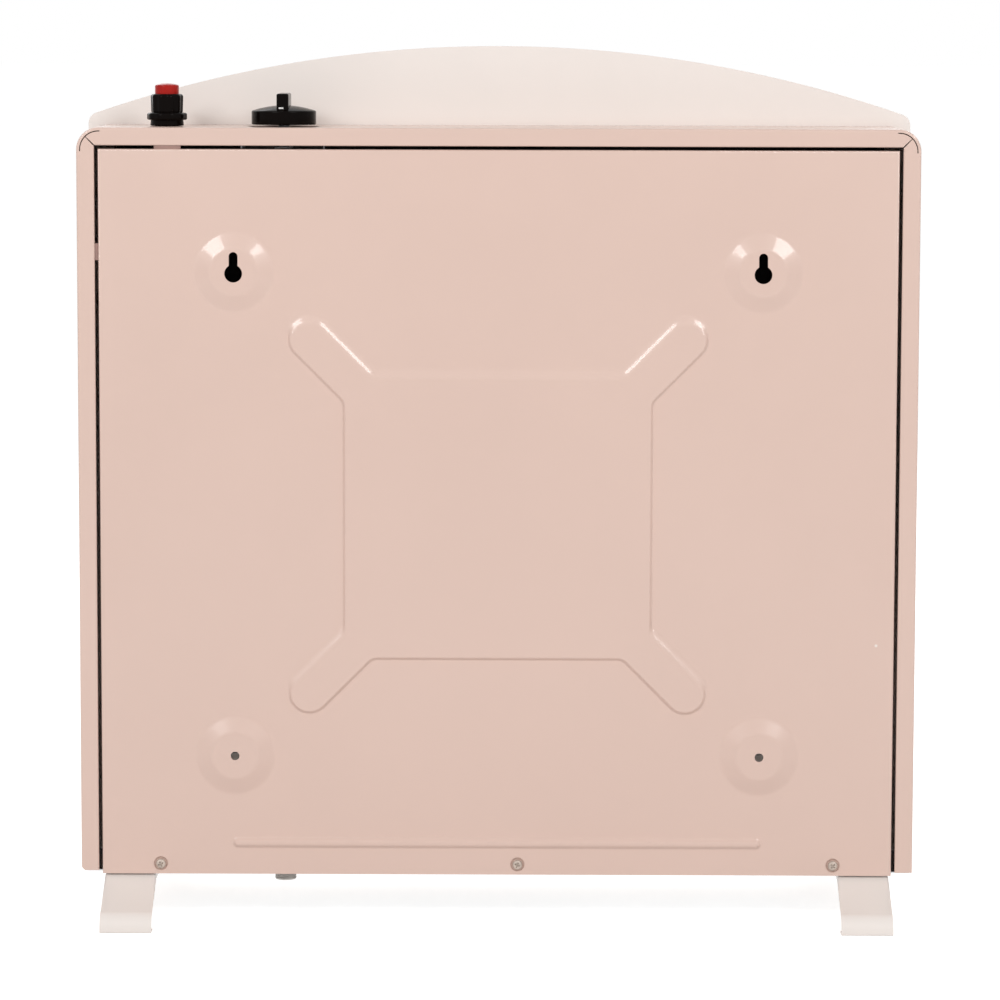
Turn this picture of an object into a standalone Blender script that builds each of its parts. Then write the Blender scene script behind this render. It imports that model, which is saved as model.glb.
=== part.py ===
"""Vent-free gas heater that hangs on a wall or stands on two feet.

The front faces -Y, the back with the wall bosses faces +Y, and the feet stand on Z = 0.
All sizes are metres. The pieces are built from the back of the case to the front.
"""
import math

import bmesh
import bpy
from mathutils import Vector

# Clearances and sheet metal
GAP = 0.0003
SHEET = 0.0012
THIN_SHEET = 0.0008
MERGE = 0.00001
OVERRUN = 0.010
LOW_SIDES = 12
MID_SIDES = 24
HIGH_SIDES = 32

# Case: the sheet wrapped over the sides and the top, with flanges turned in at the back
CASE_WIDTH = 0.647
CASE_DEPTH = 0.100
CASE_REAR = 0.092
SIDE_LIFT = 0.0025
DECK_TOP = 0.617
CORNER_RADIUS = 0.017
FLANGE = 0.0137
SLIT_INSET = 0.0024
SLIT_WIDTH = 0.0014
MITRE_WIDTH = 0.0005
FLANGE_CHAMFER = 0.0040

# Back panel
PANEL_GAP = 0.0027
PANEL_RETURN = 0.010
PANEL_BOTTOM = 0.0375
BOSS_SPACING = 0.4064
BOSS_UPPER_DROP = 0.0940
BOSS_LOWER_LIFT = 0.0938
BOSS_BASE_RADIUS = 0.0320
BOSS_TOP_RADIUS = 0.0165
BOSS_RISE = 0.0050
KEYHOLE_DROP = 0.0010
KEYHOLE_RADIUS = 0.0068
KEYHOLE_SLOT_RADIUS = 0.0034
KEYHOLE_HEIGHT = 0.0233
WALL_HOLE_RADIUS = 0.0034
PLATEAU_DROP = 0.00115
PLATEAU_HALF_WIDTH = 0.1203
PLATEAU_HALF_HEIGHT = 0.1122
PLATEAU_ARM_X = 0.1455
PLATEAU_ARM_Z = 0.1375
PLATEAU_ARM_RADIUS = 0.0170
PLATEAU_RISE = 0.0025
PLATEAU_SLOPE = 0.0030
BEAD_OVERREACH = 0.0032
BEAD_LIFT = 0.0247
BEAD_HALF_WIDTH = 0.0050
BEAD_RISE = 0.0025
BEAD_SLOPE = 0.0030
TAB_LENGTH = 0.010
TOP_TAB_INSET = 0.0533
TOP_TAB_WIDTH = 0.0206
SIDE_TAB_DROP = 0.0789
SIDE_TAB_WIDTH = 0.0130
PANEL_SCREW_INSET = 0.0455
MIDDLE_SCREW_OFFSET = 0.0161
PANEL_SCREW_RISE = 0.0080

# Screws
SCREW_HEAD_RADIUS = 0.0038
SCREW_HEAD_HEIGHT = 0.0022
SCREW_SHANK_RADIUS = 0.0016
SCREW_HOLE_RADIUS = 0.0020
SCREW_LENGTH = 0.0080
SCREW_SLOT = 0.0009

# Floor of the case
FLOOR_RETURN = 0.018
FLOOR_SLOTS = 7
FLOOR_SLOT_LENGTH = 0.050
FLOOR_SLOT_WIDTH = 0.008
FLOOR_SLOT_PITCH = 0.070
FLOOR_SLOT_ROWS = (0.014, 0.070)

# Arched front panel
ARCH_RISE = 0.062
ARCH_RADIUS = 0.980
ARCH_CORNER_RADIUS = 0.009
PANEL_WINDOW_SIDE = 0.0515
PANEL_WINDOW_SILL = 0.035
PANEL_WINDOW_DROP = 0.087

# Boxed front surround
SURROUND_INSET = 0.006
SURROUND_DEPTH = 0.0785
SURROUND_DROP = 0.011
SURROUND_CORNER = 0.012
WINDOW_SIDE = 0.063
WINDOW_HEIGHT = 0.272
WINDOW_CORNER = 0.006
OUTLET_DROP = 0.021
OUTLET_HEIGHT = 0.062
UPPER_BAR = 0.0175
LOWER_BAR = 0.0285
INTAKE_LIFT = 0.0375
TOP_SLOTS = 9
TOP_SLOT_LENGTH = 0.046
TOP_SLOT_WIDTH = 0.009
TOP_SLOT_PITCH = 0.062
TOP_SLOT_ROWS = (0.024, 0.046)

# Louvres behind the two air openings
LOUVRE_RIM = 0.008
LOUVRE_BLADE_DEPTH = 0.018
LOUVRE_BLADE_TILT = math.radians(50)
LOUVRE_PITCH = 0.0115
LOUVRE_POST_WIDTH = 0.006

# Wire guard
GUARD_OVERLAP = 0.0075
GUARD_FRAME_RADIUS = 0.0020
GUARD_WIRE_RADIUS = 0.0015
GUARD_HOOK_RADIUS = 0.00196
GUARD_BULGE = 0.015
GUARD_WIRES = 13
GUARD_SHOULDER = 0.035
GUARD_HOOK_INSET = 0.0605
GUARD_HOOK_LENGTH = 0.010
GUARD_CORNER = 0.016

# Burners
BURNERS = 5
BURNER_DROP = 0.0045
TILE_SPACING = 0.0045
TILE_HEIGHT = 0.137
TILE_THICKNESS = 0.013
TILE_PROUD = 0.0060
BURNER_REAR_GAP = 0.0022
PLATE_LAP = 0.015
PLATE_SKIRT = 0.0665
MIXER_RADIUS = 0.010
MIXER_MOUTH_RADIUS = 0.014
MIXER_LENGTH = 0.120
MIXER_MOUTH_LENGTH = 0.018

# Reflector
REFLECTOR_FLARE = 0.0145
REFLECTOR_SIDE = 0.007
REFLECTOR_FLOOR_DROP = 0.0345
REFLECTOR_ROOF_RISE = 0.0065
REFLECTOR_LAP = 0.0015

# Gas manifold and injectors
MANIFOLD_RADIUS = 0.008
MANIFOLD_END = 0.022
INJECTOR_RADIUS = 0.0042
INJECTOR_HEX_RADIUS = 0.0062
INJECTOR_LENGTH = 0.022
INJECTOR_HEX_HEIGHT = 0.006
INJECTOR_GAP = 0.005
BRACKET_WIDTH = 0.020
BRACKET_LAP = 0.0283

# Knob, valve and its hanger
KNOB_SIDE = 0.1567
CONTROL_SPACING = 0.0906
CONTROL_SETBACK = 0.048
KNOB_RADIUS = 0.0250
KNOB_RIM = 0.0108
KNOB_DOME = 0.0040
KNOB_EDGE = 0.0008
KNOB_CLEARANCE = 0.0014
KNOB_TRAVEL = 0.0040
KNOB_HOLE_MARGIN = 0.003
KNOB_TOP = 0.0255
BLADE_WIDTH = 0.0092
BLADE_LENGTH = 0.044
BLADE_EDGE = 0.0015
STEM_RADIUS = 0.0042
STEM_COLLAR_RADIUS = 0.0075
STEM_COLLAR_HEIGHT = 0.0020
STEM_COLLAR_DROP = 0.0065
VALVE_WIDTH = 0.048
VALVE_DEPTH = 0.036
VALVE_HEIGHT = 0.045
VALVE_NECK_RADIUS = 0.0100
VALVE_NECK_HEIGHT = 0.019
VALVE_DROP = 0.042
HANGER_SIDE = 0.0045
HANGER_MARGIN = 0.002
HANGER_FOOT = 0.012
HANGER_RISE = 0.0112
NUT_RADIUS = 0.0150
NUT_HEIGHT = 0.0040
STEM_DEPTH = 0.013
PLUNGER_LENGTH = 0.018
VALVE_SPRING_CURLS = 5
SPRING_WIRE_RADIUS = 0.0005

# Igniter
IGNITER_HOLE_MARGIN = 0.0005
IGNITER_NECK_RADIUS = 0.0095
IGNITER_BODY_RADIUS = 0.0120
IGNITER_BODY_LENGTH = 0.055
IGNITER_TAIL = 0.005
IGNITER_TAIL_RADIUS = 0.004
IGNITER_BORE_RADIUS = 0.0065
IGNITER_BORE_DEPTH = 0.018
IGNITER_ROD_RADIUS = 0.0030
IGNITER_ROD_LENGTH = 0.034
COLLAR_FOOT_RADIUS = 0.0130
COLLAR_FOOT_HEIGHT = 0.0044
COLLAR_RING_RADIUS = 0.0155
COLLAR_RING_HEIGHT = 0.0054
COLLAR_SLEEVE_RADIUS = 0.0123
COLLAR_SLEEVE_HEIGHT = 0.0147
BUTTON_RADIUS = 0.0093
BUTTON_HEIGHT = 0.0082
BUTTON_TRAVEL = 0.0070
BUTTON_SEAT = 0.0025
BUTTON_STOP = 0.0023
BUTTON_CROWN = 0.0012
IGNITER_SPRING_CURLS = 6

# Gas inlet, regulator and lines
INLET_DROP = 0.013
INLET_RADIUS = 0.0085
INLET_BORE_RADIUS = 0.0050
INLET_BORE_CLOSURE = 0.005
INLET_FLANGE_RADIUS = 0.0120
INLET_FLANGE_HEIGHT = 0.0030
REGULATOR_LIFT = 0.0205
REGULATOR_HEIGHT = 0.050
REGULATOR_HUB_RADIUS = 0.0110
REGULATOR_DRUM_RADIUS = 0.0210
REGULATOR_DRUM_LENGTH = 0.030
REGULATOR_BONNET_RADIUS = 0.0100
REGULATOR_BONNET_LENGTH = 0.014
SUPPLY_RADIUS = 0.006
BURNER_TUBE_RADIUS = 0.005
BURNER_TUBE_SIDE = 0.021
BURNER_TUBE_LIFT = 0.012
TUBE_BEND = 0.009
SMALL_LINE_RADIUS = 0.0020
LINE_BEND = 0.010
LEAD_RADIUS = 0.0025
LINE_Y_OFFSET = 0.010
LINE_SPREAD = 0.016

# Pilot
PILOT_STANDOFF = 0.0197
PILOT_SPACING = 0.015
PILOT_SHELF_DROP = 0.0285
PILOT_SHELF_DEPTH = 0.032
PILOT_LEG = 0.022
PILOT_WIDTH = 0.044
PILOT_TAIL = 0.012
PILOT_RISE = 0.020
PILOT_OPENING_DEPTH = 0.012
ELECTRODE_RADIUS = 0.0026
ELECTRODE_TIP = 0.0008
PILOT_BURNER_RADIUS = 0.0040
THERMOCOUPLE_RADIUS = 0.0024
LINE_DROP = 0.015
LEAD_DROP = 0.019
LEAD_LANE = 0.0038

# Heat shield
VALVE_SHIELD_GAP = 0.0018
SHIELD_LIFT = 0.005
SHIELD_SIDE = 0.013
SHIELD_KNOB_GAP = 0.0014
SHIELD_FOOT = 0.018

# Feet
FOOT_LENGTH = 0.280
FOOT_WIDTH = 0.040
FOOT_INSET = 0.018
FOOT_SHEET = 0.0015
FOOT_FLANGE = 0.0045
FOOT_FOLD_RADIUS = 0.0028
LEG_RUN = 0.039
TOE_HEIGHT = 0.0155
TOE_ROLL = 0.013
TOE_LIP = 0.012
FOOT_SCREW_Y = 0.050

# Places in depth, worked out from the sizes above
CASE_FRONT = CASE_REAR - CASE_DEPTH
PANEL_INNER = CASE_REAR - SHEET
CONTROL_Y = CASE_REAR - CONTROL_SETBACK
FRONT_PANEL_FACE = CASE_FRONT - SHEET
SURROUND_REAR = FRONT_PANEL_FACE - GAP
SURROUND_FACE = SURROUND_REAR - SURROUND_DEPTH
SURROUND_INNER = SURROUND_FACE + SHEET
PLATE_REAR = FRONT_PANEL_FACE - GAP
PLATE_FRONT = PLATE_REAR - THIN_SHEET
SHIELD_Y = CONTROL_Y - VALVE_DEPTH / 2 - VALVE_SHIELD_GAP
BOX_FRONT = PLATE_REAR + GAP
BOX_REAR = SHIELD_Y - THIN_SHEET - BURNER_REAR_GAP
MIXER_Y = (BOX_FRONT + BOX_REAR) / 2
PILOT_Y = PLATE_FRONT - PILOT_STANDOFF
LEAD_LANE_Y = SHIELD_Y + LEAD_LANE

# Places across the width
CASE_HALF = CASE_WIDTH / 2
PANEL_HALF_WIDTH = CASE_HALF - FLANGE - PANEL_GAP
OUTER_SCREW_X = PANEL_HALF_WIDTH - PANEL_SCREW_INSET
PANEL_SCREW_X = (OUTER_SCREW_X, -MIDDLE_SCREW_OFFSET, -OUTER_SCREW_X)
TOP_TAB_X = PANEL_HALF_WIDTH - TOP_TAB_INSET
BEAD_HALF_LENGTH = BOSS_SPACING / 2 + BEAD_OVERREACH
PANEL_WINDOW_HALF_WIDTH = CASE_HALF - PANEL_WINDOW_SIDE
BURNER_PLATE_HALF_WIDTH = PANEL_WINDOW_HALF_WIDTH + PLATE_LAP
SHIELD_HALF_WIDTH = PANEL_WINDOW_HALF_WIDTH + SHIELD_SIDE
WINDOW_HALF_WIDTH = CASE_HALF - WINDOW_SIDE
REFLECTOR_REAR_HALF_WIDTH = WINDOW_HALF_WIDTH - REFLECTOR_FLARE
BURNER_PITCH = (2 * (REFLECTOR_REAR_HALF_WIDTH - REFLECTOR_SIDE) + TILE_SPACING) / BURNERS
TILE_WIDTH = BURNER_PITCH - TILE_SPACING
BURNER_XS = [(index - (BURNERS - 1) / 2) * BURNER_PITCH for index in range(BURNERS)]
MANIFOLD_HALF_LENGTH = BURNER_XS[-1] + MANIFOLD_END
BRACKET_X = (BURNER_XS[-1] + BURNER_XS[-2]) / 2
PILOT_X = BRACKET_X
BURNER_TUBE_X = MANIFOLD_HALF_LENGTH + BURNER_TUBE_SIDE
GUARD_HOOK_X = WINDOW_HALF_WIDTH - GUARD_HOOK_INSET
KNOB_X = CASE_HALF - KNOB_SIDE
IGNITER_X = KNOB_X + CONTROL_SPACING
FOOT_OUTER_X = CASE_HALF - FOOT_INSET
KNOB_HOLE_RADIUS = KNOB_RADIUS + KNOB_HOLE_MARGIN
HANGER_HALF_WIDTH = KNOB_HOLE_RADIUS + HANGER_SIDE
HANGER_DEPTH = VALVE_DEPTH + HANGER_MARGIN
IGNITER_HOLE_RADIUS = IGNITER_NECK_RADIUS + IGNITER_HOLE_MARGIN

# Heights
DECK_UNDERSIDE = DECK_TOP - SHEET
PANEL_TOP = DECK_TOP - FLANGE - PANEL_GAP
SIDE_BOTTOM = PANEL_BOTTOM + SIDE_LIFT
FLOOR_BOTTOM = PANEL_BOTTOM
FLOOR_TOP = FLOOR_BOTTOM + SHEET
FOOT_TOP = FLOOR_BOTTOM - GAP
BOSS_UPPER_HEIGHT = PANEL_TOP - BOSS_UPPER_DROP
BOSS_LOWER_HEIGHT = PANEL_BOTTOM + BOSS_LOWER_LIFT
PLATEAU_MIDDLE_HEIGHT = (BOSS_UPPER_HEIGHT + BOSS_LOWER_HEIGHT) / 2 - PLATEAU_DROP
BEAD_HEIGHT = PANEL_BOTTOM + BEAD_LIFT
SIDE_TAB_HEIGHT = PANEL_TOP - SIDE_TAB_DROP
ARCH_TOP = DECK_TOP + ARCH_RISE
SURROUND_TOP = DECK_TOP - SURROUND_DROP
OUTLET_HIGH = SURROUND_TOP - OUTLET_DROP
OUTLET_LOW = OUTLET_HIGH - OUTLET_HEIGHT
WINDOW_HIGH = OUTLET_LOW - UPPER_BAR
WINDOW_LOW = WINDOW_HIGH - WINDOW_HEIGHT
INTAKE_HIGH = WINDOW_LOW - LOWER_BAR
INTAKE_LOW = PANEL_BOTTOM + INTAKE_LIFT
GUARD_CROSS_HEIGHTS = (WINDOW_LOW + WINDOW_HEIGHT / 3, WINDOW_HIGH - WINDOW_HEIGHT / 3)
BURNER_HEIGHT = (WINDOW_LOW + WINDOW_HIGH) / 2 - BURNER_DROP
TILE_LOW = BURNER_HEIGHT - TILE_HEIGHT / 2
TILE_HIGH = BURNER_HEIGHT + TILE_HEIGHT / 2
BOX_BOTTOM = TILE_LOW - GAP - SHEET
MIXER_LOW = BOX_BOTTOM - MIXER_LENGTH
MANIFOLD_HEIGHT = MIXER_LOW - INJECTOR_GAP - INJECTOR_LENGTH - MANIFOLD_RADIUS
PANEL_WINDOW_LOW = MANIFOLD_HEIGHT - PANEL_WINDOW_SILL
PANEL_WINDOW_HIGH = DECK_TOP - PANEL_WINDOW_DROP
BURNER_PLATE_LOW = TILE_LOW - PLATE_SKIRT
BURNER_PLATE_HIGH = PANEL_WINDOW_HIGH + PLATE_LAP
REFLECTOR_REAR_LOW = TILE_LOW - REFLECTOR_FLOOR_DROP
REFLECTOR_REAR_HIGH = TILE_HIGH + REFLECTOR_ROOF_RISE
PILOT_SHELF = TILE_LOW - PILOT_SHELF_DROP
LINE_LOW = BURNER_PLATE_LOW - LINE_DROP
LEAD_LOW = LINE_LOW - LEAD_DROP
SHIELD_LOW = BURNER_PLATE_LOW + SHIELD_LIFT
KNOB_BASE = DECK_TOP + KNOB_CLEARANCE
SHIELD_HIGH = KNOB_BASE - KNOB_TRAVEL - SHIELD_KNOB_GAP
VALVE_TOP = DECK_TOP - VALVE_DROP
NECK_TOP = VALVE_TOP + VALVE_NECK_HEIGHT
HANGER_TOP = VALVE_TOP + HANGER_RISE + SHEET
COLLAR_TOP = DECK_TOP + GAP + COLLAR_FOOT_HEIGHT + COLLAR_RING_HEIGHT + COLLAR_SLEEVE_HEIGHT
IGNITER_NECK_TOP = COLLAR_TOP - BUTTON_SEAT - BUTTON_TRAVEL - BUTTON_STOP
INLET_BOTTOM = PANEL_BOTTOM - INLET_DROP
REGULATOR_BOTTOM = PANEL_BOTTOM + REGULATOR_LIFT

# Finishes: colour, roughness, metallic
CASE_PAINT = ((0.73, 0.53, 0.46), 0.35, 0.0)
FRONT_PAINT = ((0.82, 0.77, 0.72), 0.35, 0.0)
ZINC = ((0.62, 0.63, 0.64), 0.35, 0.9)
CHROME = ((0.75, 0.75, 0.76), 0.12, 1.0)
BRIGHT_STEEL = ((0.70, 0.70, 0.72), 0.18, 1.0)
DARK_STEEL = ((0.20, 0.20, 0.21), 0.45, 0.8)
CAST_IRON = ((0.09, 0.09, 0.095), 0.65, 0.5)
CERAMIC = ((0.80, 0.72, 0.62), 0.85, 0.0)
WHITE_CERAMIC = ((0.90, 0.89, 0.86), 0.30, 0.0)
BRASS = ((0.75, 0.56, 0.25), 0.30, 1.0)
COPPER = ((0.72, 0.39, 0.25), 0.32, 1.0)
CAST_ALLOY = ((0.50, 0.49, 0.47), 0.50, 0.8)
BLACK_PLASTIC = ((0.012, 0.012, 0.014), 0.22, 0.0)
RED_PLASTIC = ((0.45, 0.025, 0.02), 0.30, 0.0)
RED_RUBBER = ((0.40, 0.05, 0.04), 0.60, 0.0)

TURN = {"X": (0, math.pi / 2, 0), "Y": (-math.pi / 2, 0, 0), "Z": (0, 0, 0)}
PLANE = {"XY": (0, 0, 0), "XZ": (math.pi / 2, 0, 0), "YZ": (math.pi / 2, 0, math.pi / 2)}


def clear_scene():
    """Remove what the scene holds, so that the model stands alone."""
    for obj in list(bpy.data.objects):
        bpy.data.objects.remove(obj, do_unlink=True)


def new_collection(name):
    group = bpy.data.collections.new(name)
    bpy.context.scene.collection.children.link(group)
    return group


def add(name, data):
    """Make an object for a mesh or a curve, in the heater's collection."""
    obj = bpy.data.objects.new(name, data)
    HEATER.objects.link(obj)
    return obj


def hide(obj):
    """Turn an object into a guide that only shapes another one."""
    if obj.name in HEATER.objects:
        HEATER.objects.unlink(obj)
        CUTTERS.objects.link(obj)
    obj.hide_render = True
    obj.display_type = "WIRE"


def paint(obj, finish):
    """Give the piece its own material."""
    colour, roughness, metallic = finish
    material = bpy.data.materials.new(obj.name + "_finish")
    material.use_nodes = True
    shader = material.node_tree.nodes["Principled BSDF"]
    shader.inputs["Base Color"].default_value = (*colour, 1.0)
    shader.inputs["Roughness"].default_value = roughness
    shader.inputs["Metallic"].default_value = metallic
    obj.data.materials.append(material)
    return obj


def mesh_object(name, shape, place=(0, 0, 0)):
    mesh = bpy.data.meshes.new(name)
    shape.to_mesh(mesh)
    shape.free()
    obj = add(name, mesh)
    obj.location = place
    return obj


def smooth(obj):
    """Shade round faces smooth and keep the real edges sharp."""
    obj.data.shade_smooth()
    obj.data.set_sharp_from_angle(angle=math.radians(40))
    return obj


def box(name, low, high):
    """Box between two opposite corners, its origin at its middle."""
    low = Vector(low)
    high = Vector(high)
    shape = bmesh.new()
    bmesh.ops.create_cube(shape, size=1.0)
    bmesh.ops.scale(shape, vec=high - low, verts=shape.verts)
    return mesh_object(name, shape, (low + high) / 2)


def cylinder(name, radius, start, length, axis="Z", sides=MID_SIDES, end_radius=None):
    """Cylinder or cone that starts at a point and runs along an axis."""
    shape = bmesh.new()
    end_radius = radius if end_radius is None else end_radius
    bmesh.ops.create_cone(shape, cap_ends=True, segments=sides, radius1=radius, radius2=end_radius,
                          depth=length)
    bmesh.ops.translate(shape, vec=(0, 0, length / 2), verts=shape.verts)
    obj = mesh_object(name, shape, start)
    obj.rotation_euler = TURN[axis]
    return smooth(obj)


def to_mesh(curve_object):
    """Turn a curve object into a welded mesh object with the same name and place."""
    bpy.context.view_layer.update()
    evaluated = curve_object.evaluated_get(bpy.context.evaluated_depsgraph_get())
    mesh = bpy.data.meshes.new_from_object(evaluated)
    place = curve_object.matrix_world.copy()
    name = curve_object.name
    bpy.data.objects.remove(curve_object, do_unlink=True)
    shape = bmesh.new()
    shape.from_mesh(mesh)
    bmesh.ops.remove_doubles(shape, verts=shape.verts, dist=MERGE)
    shape.to_mesh(mesh)
    shape.free()
    obj = add(name, mesh)
    obj.matrix_world = place
    return obj


def outline(name, loops, thickness, plane, middle):
    """Flat outline with any holes, given a thickness about the middle."""
    curve = bpy.data.curves.new(name, "CURVE")
    curve.dimensions = "2D"
    curve.fill_mode = "BOTH"
    curve.extrude = thickness / 2
    for loop in loops:
        spline = curve.splines.new("POLY")
        spline.points.add(len(loop) - 1)
        spline.use_cyclic_u = True
        for point, (across, up) in zip(spline.points, loop):
            point.co = (across, up, 0, 1)
    obj = add(name, curve)
    obj.rotation_euler = PLANE[plane]
    obj.location = middle
    return to_mesh(obj)


def sheet_xz(name, loops, rear, front):
    """Upright sheet between two Y planes."""
    return outline(name, loops, rear - front, "XZ", (0, (rear + front) / 2, 0))


def rectangle(low_x, low_z, high_x, high_z):
    return [(low_x, low_z), (high_x, low_z), (high_x, high_z), (low_x, high_z)]


def arc(centre, radius, start, end, steps):
    """Points of an arc, with its angles in degrees."""
    points = []
    for index in range(steps + 1):
        angle = math.radians(start + (end - start) * index / steps)
        points.append((centre[0] + radius * math.cos(angle), centre[1] + radius * math.sin(angle)))
    return points


def round_rectangle(low_x, low_z, high_x, high_z, radius, steps=4):
    """Rectangle with four round corners."""
    corners = [((high_x - radius, high_z - radius), 0), ((low_x + radius, high_z - radius), 90),
               ((low_x + radius, low_z + radius), 180), ((high_x - radius, low_z + radius), 270)]
    points = []
    for centre, start in corners:
        points += arc(centre, radius, start, start + 90, steps)
    return points


def stadium(half_length, middle_height, radius, steps=6):
    """Long outline with round ends, level with the ground."""
    points = arc((half_length - radius, middle_height), radius, -90, 90, steps)
    return points + arc((radius - half_length, middle_height), radius, 90, 270, steps)


def turned(name, profile, place, sides=MID_SIDES, ring=False):
    """Turned piece. The profile holds radius and height pairs, down the outer side from the top."""
    mesh = bpy.data.meshes.new(name)
    edges = [(index, index + 1) for index in range(len(profile) - 1)]
    if ring:
        edges.append((len(profile) - 1, 0))
    mesh.from_pydata([(radius, 0, height) for radius, height in profile], edges, [])
    obj = add(name, mesh)
    obj.location = place
    spin = obj.modifiers.new("spin", "SCREW")
    spin.steps = sides
    spin.render_steps = sides
    spin.use_merge_vertices = True
    spin.merge_threshold = MERGE
    spin.use_smooth_shade = False
    return obj


def bend_path(points, radius, steps=4):
    """Replace each inner corner of a path by an arc."""
    points = [Vector(point) for point in points]
    path = [points[0]]
    for before, corner, after in zip(points, points[1:], points[2:]):
        toward = (before - corner).normalized()
        away = (after - corner).normalized()
        half = toward.angle(away) / 2
        centre = corner + (toward + away).normalized() * radius / math.sin(half)
        reach = radius / math.tan(half)
        first = (corner + toward * reach - centre).normalized()
        last = (corner + away * reach - centre).normalized()
        path += [centre + radius * first.slerp(last, index / steps) for index in range(steps + 1)]
    path.append(points[-1])
    return path


def wire(name, points, radius, level=1, closed=False):
    """Round wire or tube along a path."""
    curve = bpy.data.curves.new(name, "CURVE")
    curve.dimensions = "3D"
    curve.bevel_depth = radius
    curve.bevel_resolution = level
    curve.use_fill_caps = True
    spline = curve.splines.new("POLY")
    spline.points.add(len(points) - 1)
    spline.use_cyclic_u = closed
    for point, place in zip(spline.points, points):
        point.co = (*place, 1)
    return smooth(to_mesh(add(name, curve)))


def helix(centre, low, high, radius, curls, points_a_curl=8):
    """Points of a compression spring about an upright axis."""
    steps = curls * points_a_curl
    points = []
    for index in range(steps + 1):
        angle = 2 * math.pi * index / points_a_curl
        height = low + (high - low) * index / steps
        points.append((centre[0] + radius * math.cos(angle), centre[1] + radius * math.sin(angle), height))
    return points


def combine(body, tool, operation):
    step = body.modifiers.new(tool.name, "BOOLEAN")
    step.operation = operation
    step.object = tool
    step.solver = "EXACT"
    hide(tool)


def cut(body, *tools):
    for tool in tools:
        combine(body, tool, "DIFFERENCE")
    return body


def join(body, *tools):
    for tool in tools:
        combine(body, tool, "UNION")
    return body


def raised_patch(name, loop, rise, slope, root, level):
    """Stamped patch: a root below the sheet's face, then a sloping edge up to a flat top."""
    obj = outline(name, [loop], root, "XZ", (0, level - root / 2, 0))
    shape = bmesh.new()
    shape.from_mesh(obj.data)
    flat = [edge for edge in shape.edges if len(edge.link_faces) == 2
            and edge.calc_face_angle(0) < math.radians(1)]
    bmesh.ops.dissolve_edges(shape, edges=flat, use_verts=False)
    # The thickness of an upright outline runs along its own Z, and its rear face is the low one.
    top = min(shape.faces, key=lambda face: face.calc_center_median().z)
    bmesh.ops.inset_region(shape, faces=[top], thickness=slope, depth=rise, use_even_offset=True)
    shape.to_mesh(obj.data)
    shape.free()
    return obj


def screw(name, place, axis_turn):
    """Pan-head screw with a cross slot. Its origin is under the head, on its axis."""
    head = turned(name, [(0, SCREW_HEAD_HEIGHT), (SCREW_HEAD_RADIUS * 0.7, SCREW_HEAD_HEIGHT),
                         (SCREW_HEAD_RADIUS, SCREW_HEAD_HEIGHT * 0.4), (SCREW_HEAD_RADIUS, 0),
                         (SCREW_SHANK_RADIUS, 0), (SCREW_SHANK_RADIUS, -SCREW_LENGTH), (0, -SCREW_LENGTH)],
                  place, LOW_SIDES)
    head.rotation_euler = axis_turn
    slot_depth = SCREW_HEAD_HEIGHT / 2
    reach = SCREW_HEAD_RADIUS * 0.55
    for index, (along, across) in enumerate([(reach, SCREW_SLOT / 2), (SCREW_SLOT / 2, reach)]):
        slot = box(f"{name}_slot_{index}", (-along, -across, SCREW_HEAD_HEIGHT - slot_depth),
                   (along, across, SCREW_HEAD_HEIGHT + OVERRUN))
        slot.parent = head
        cut(head, slot)
    return paint(head, ZINC)


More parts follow.
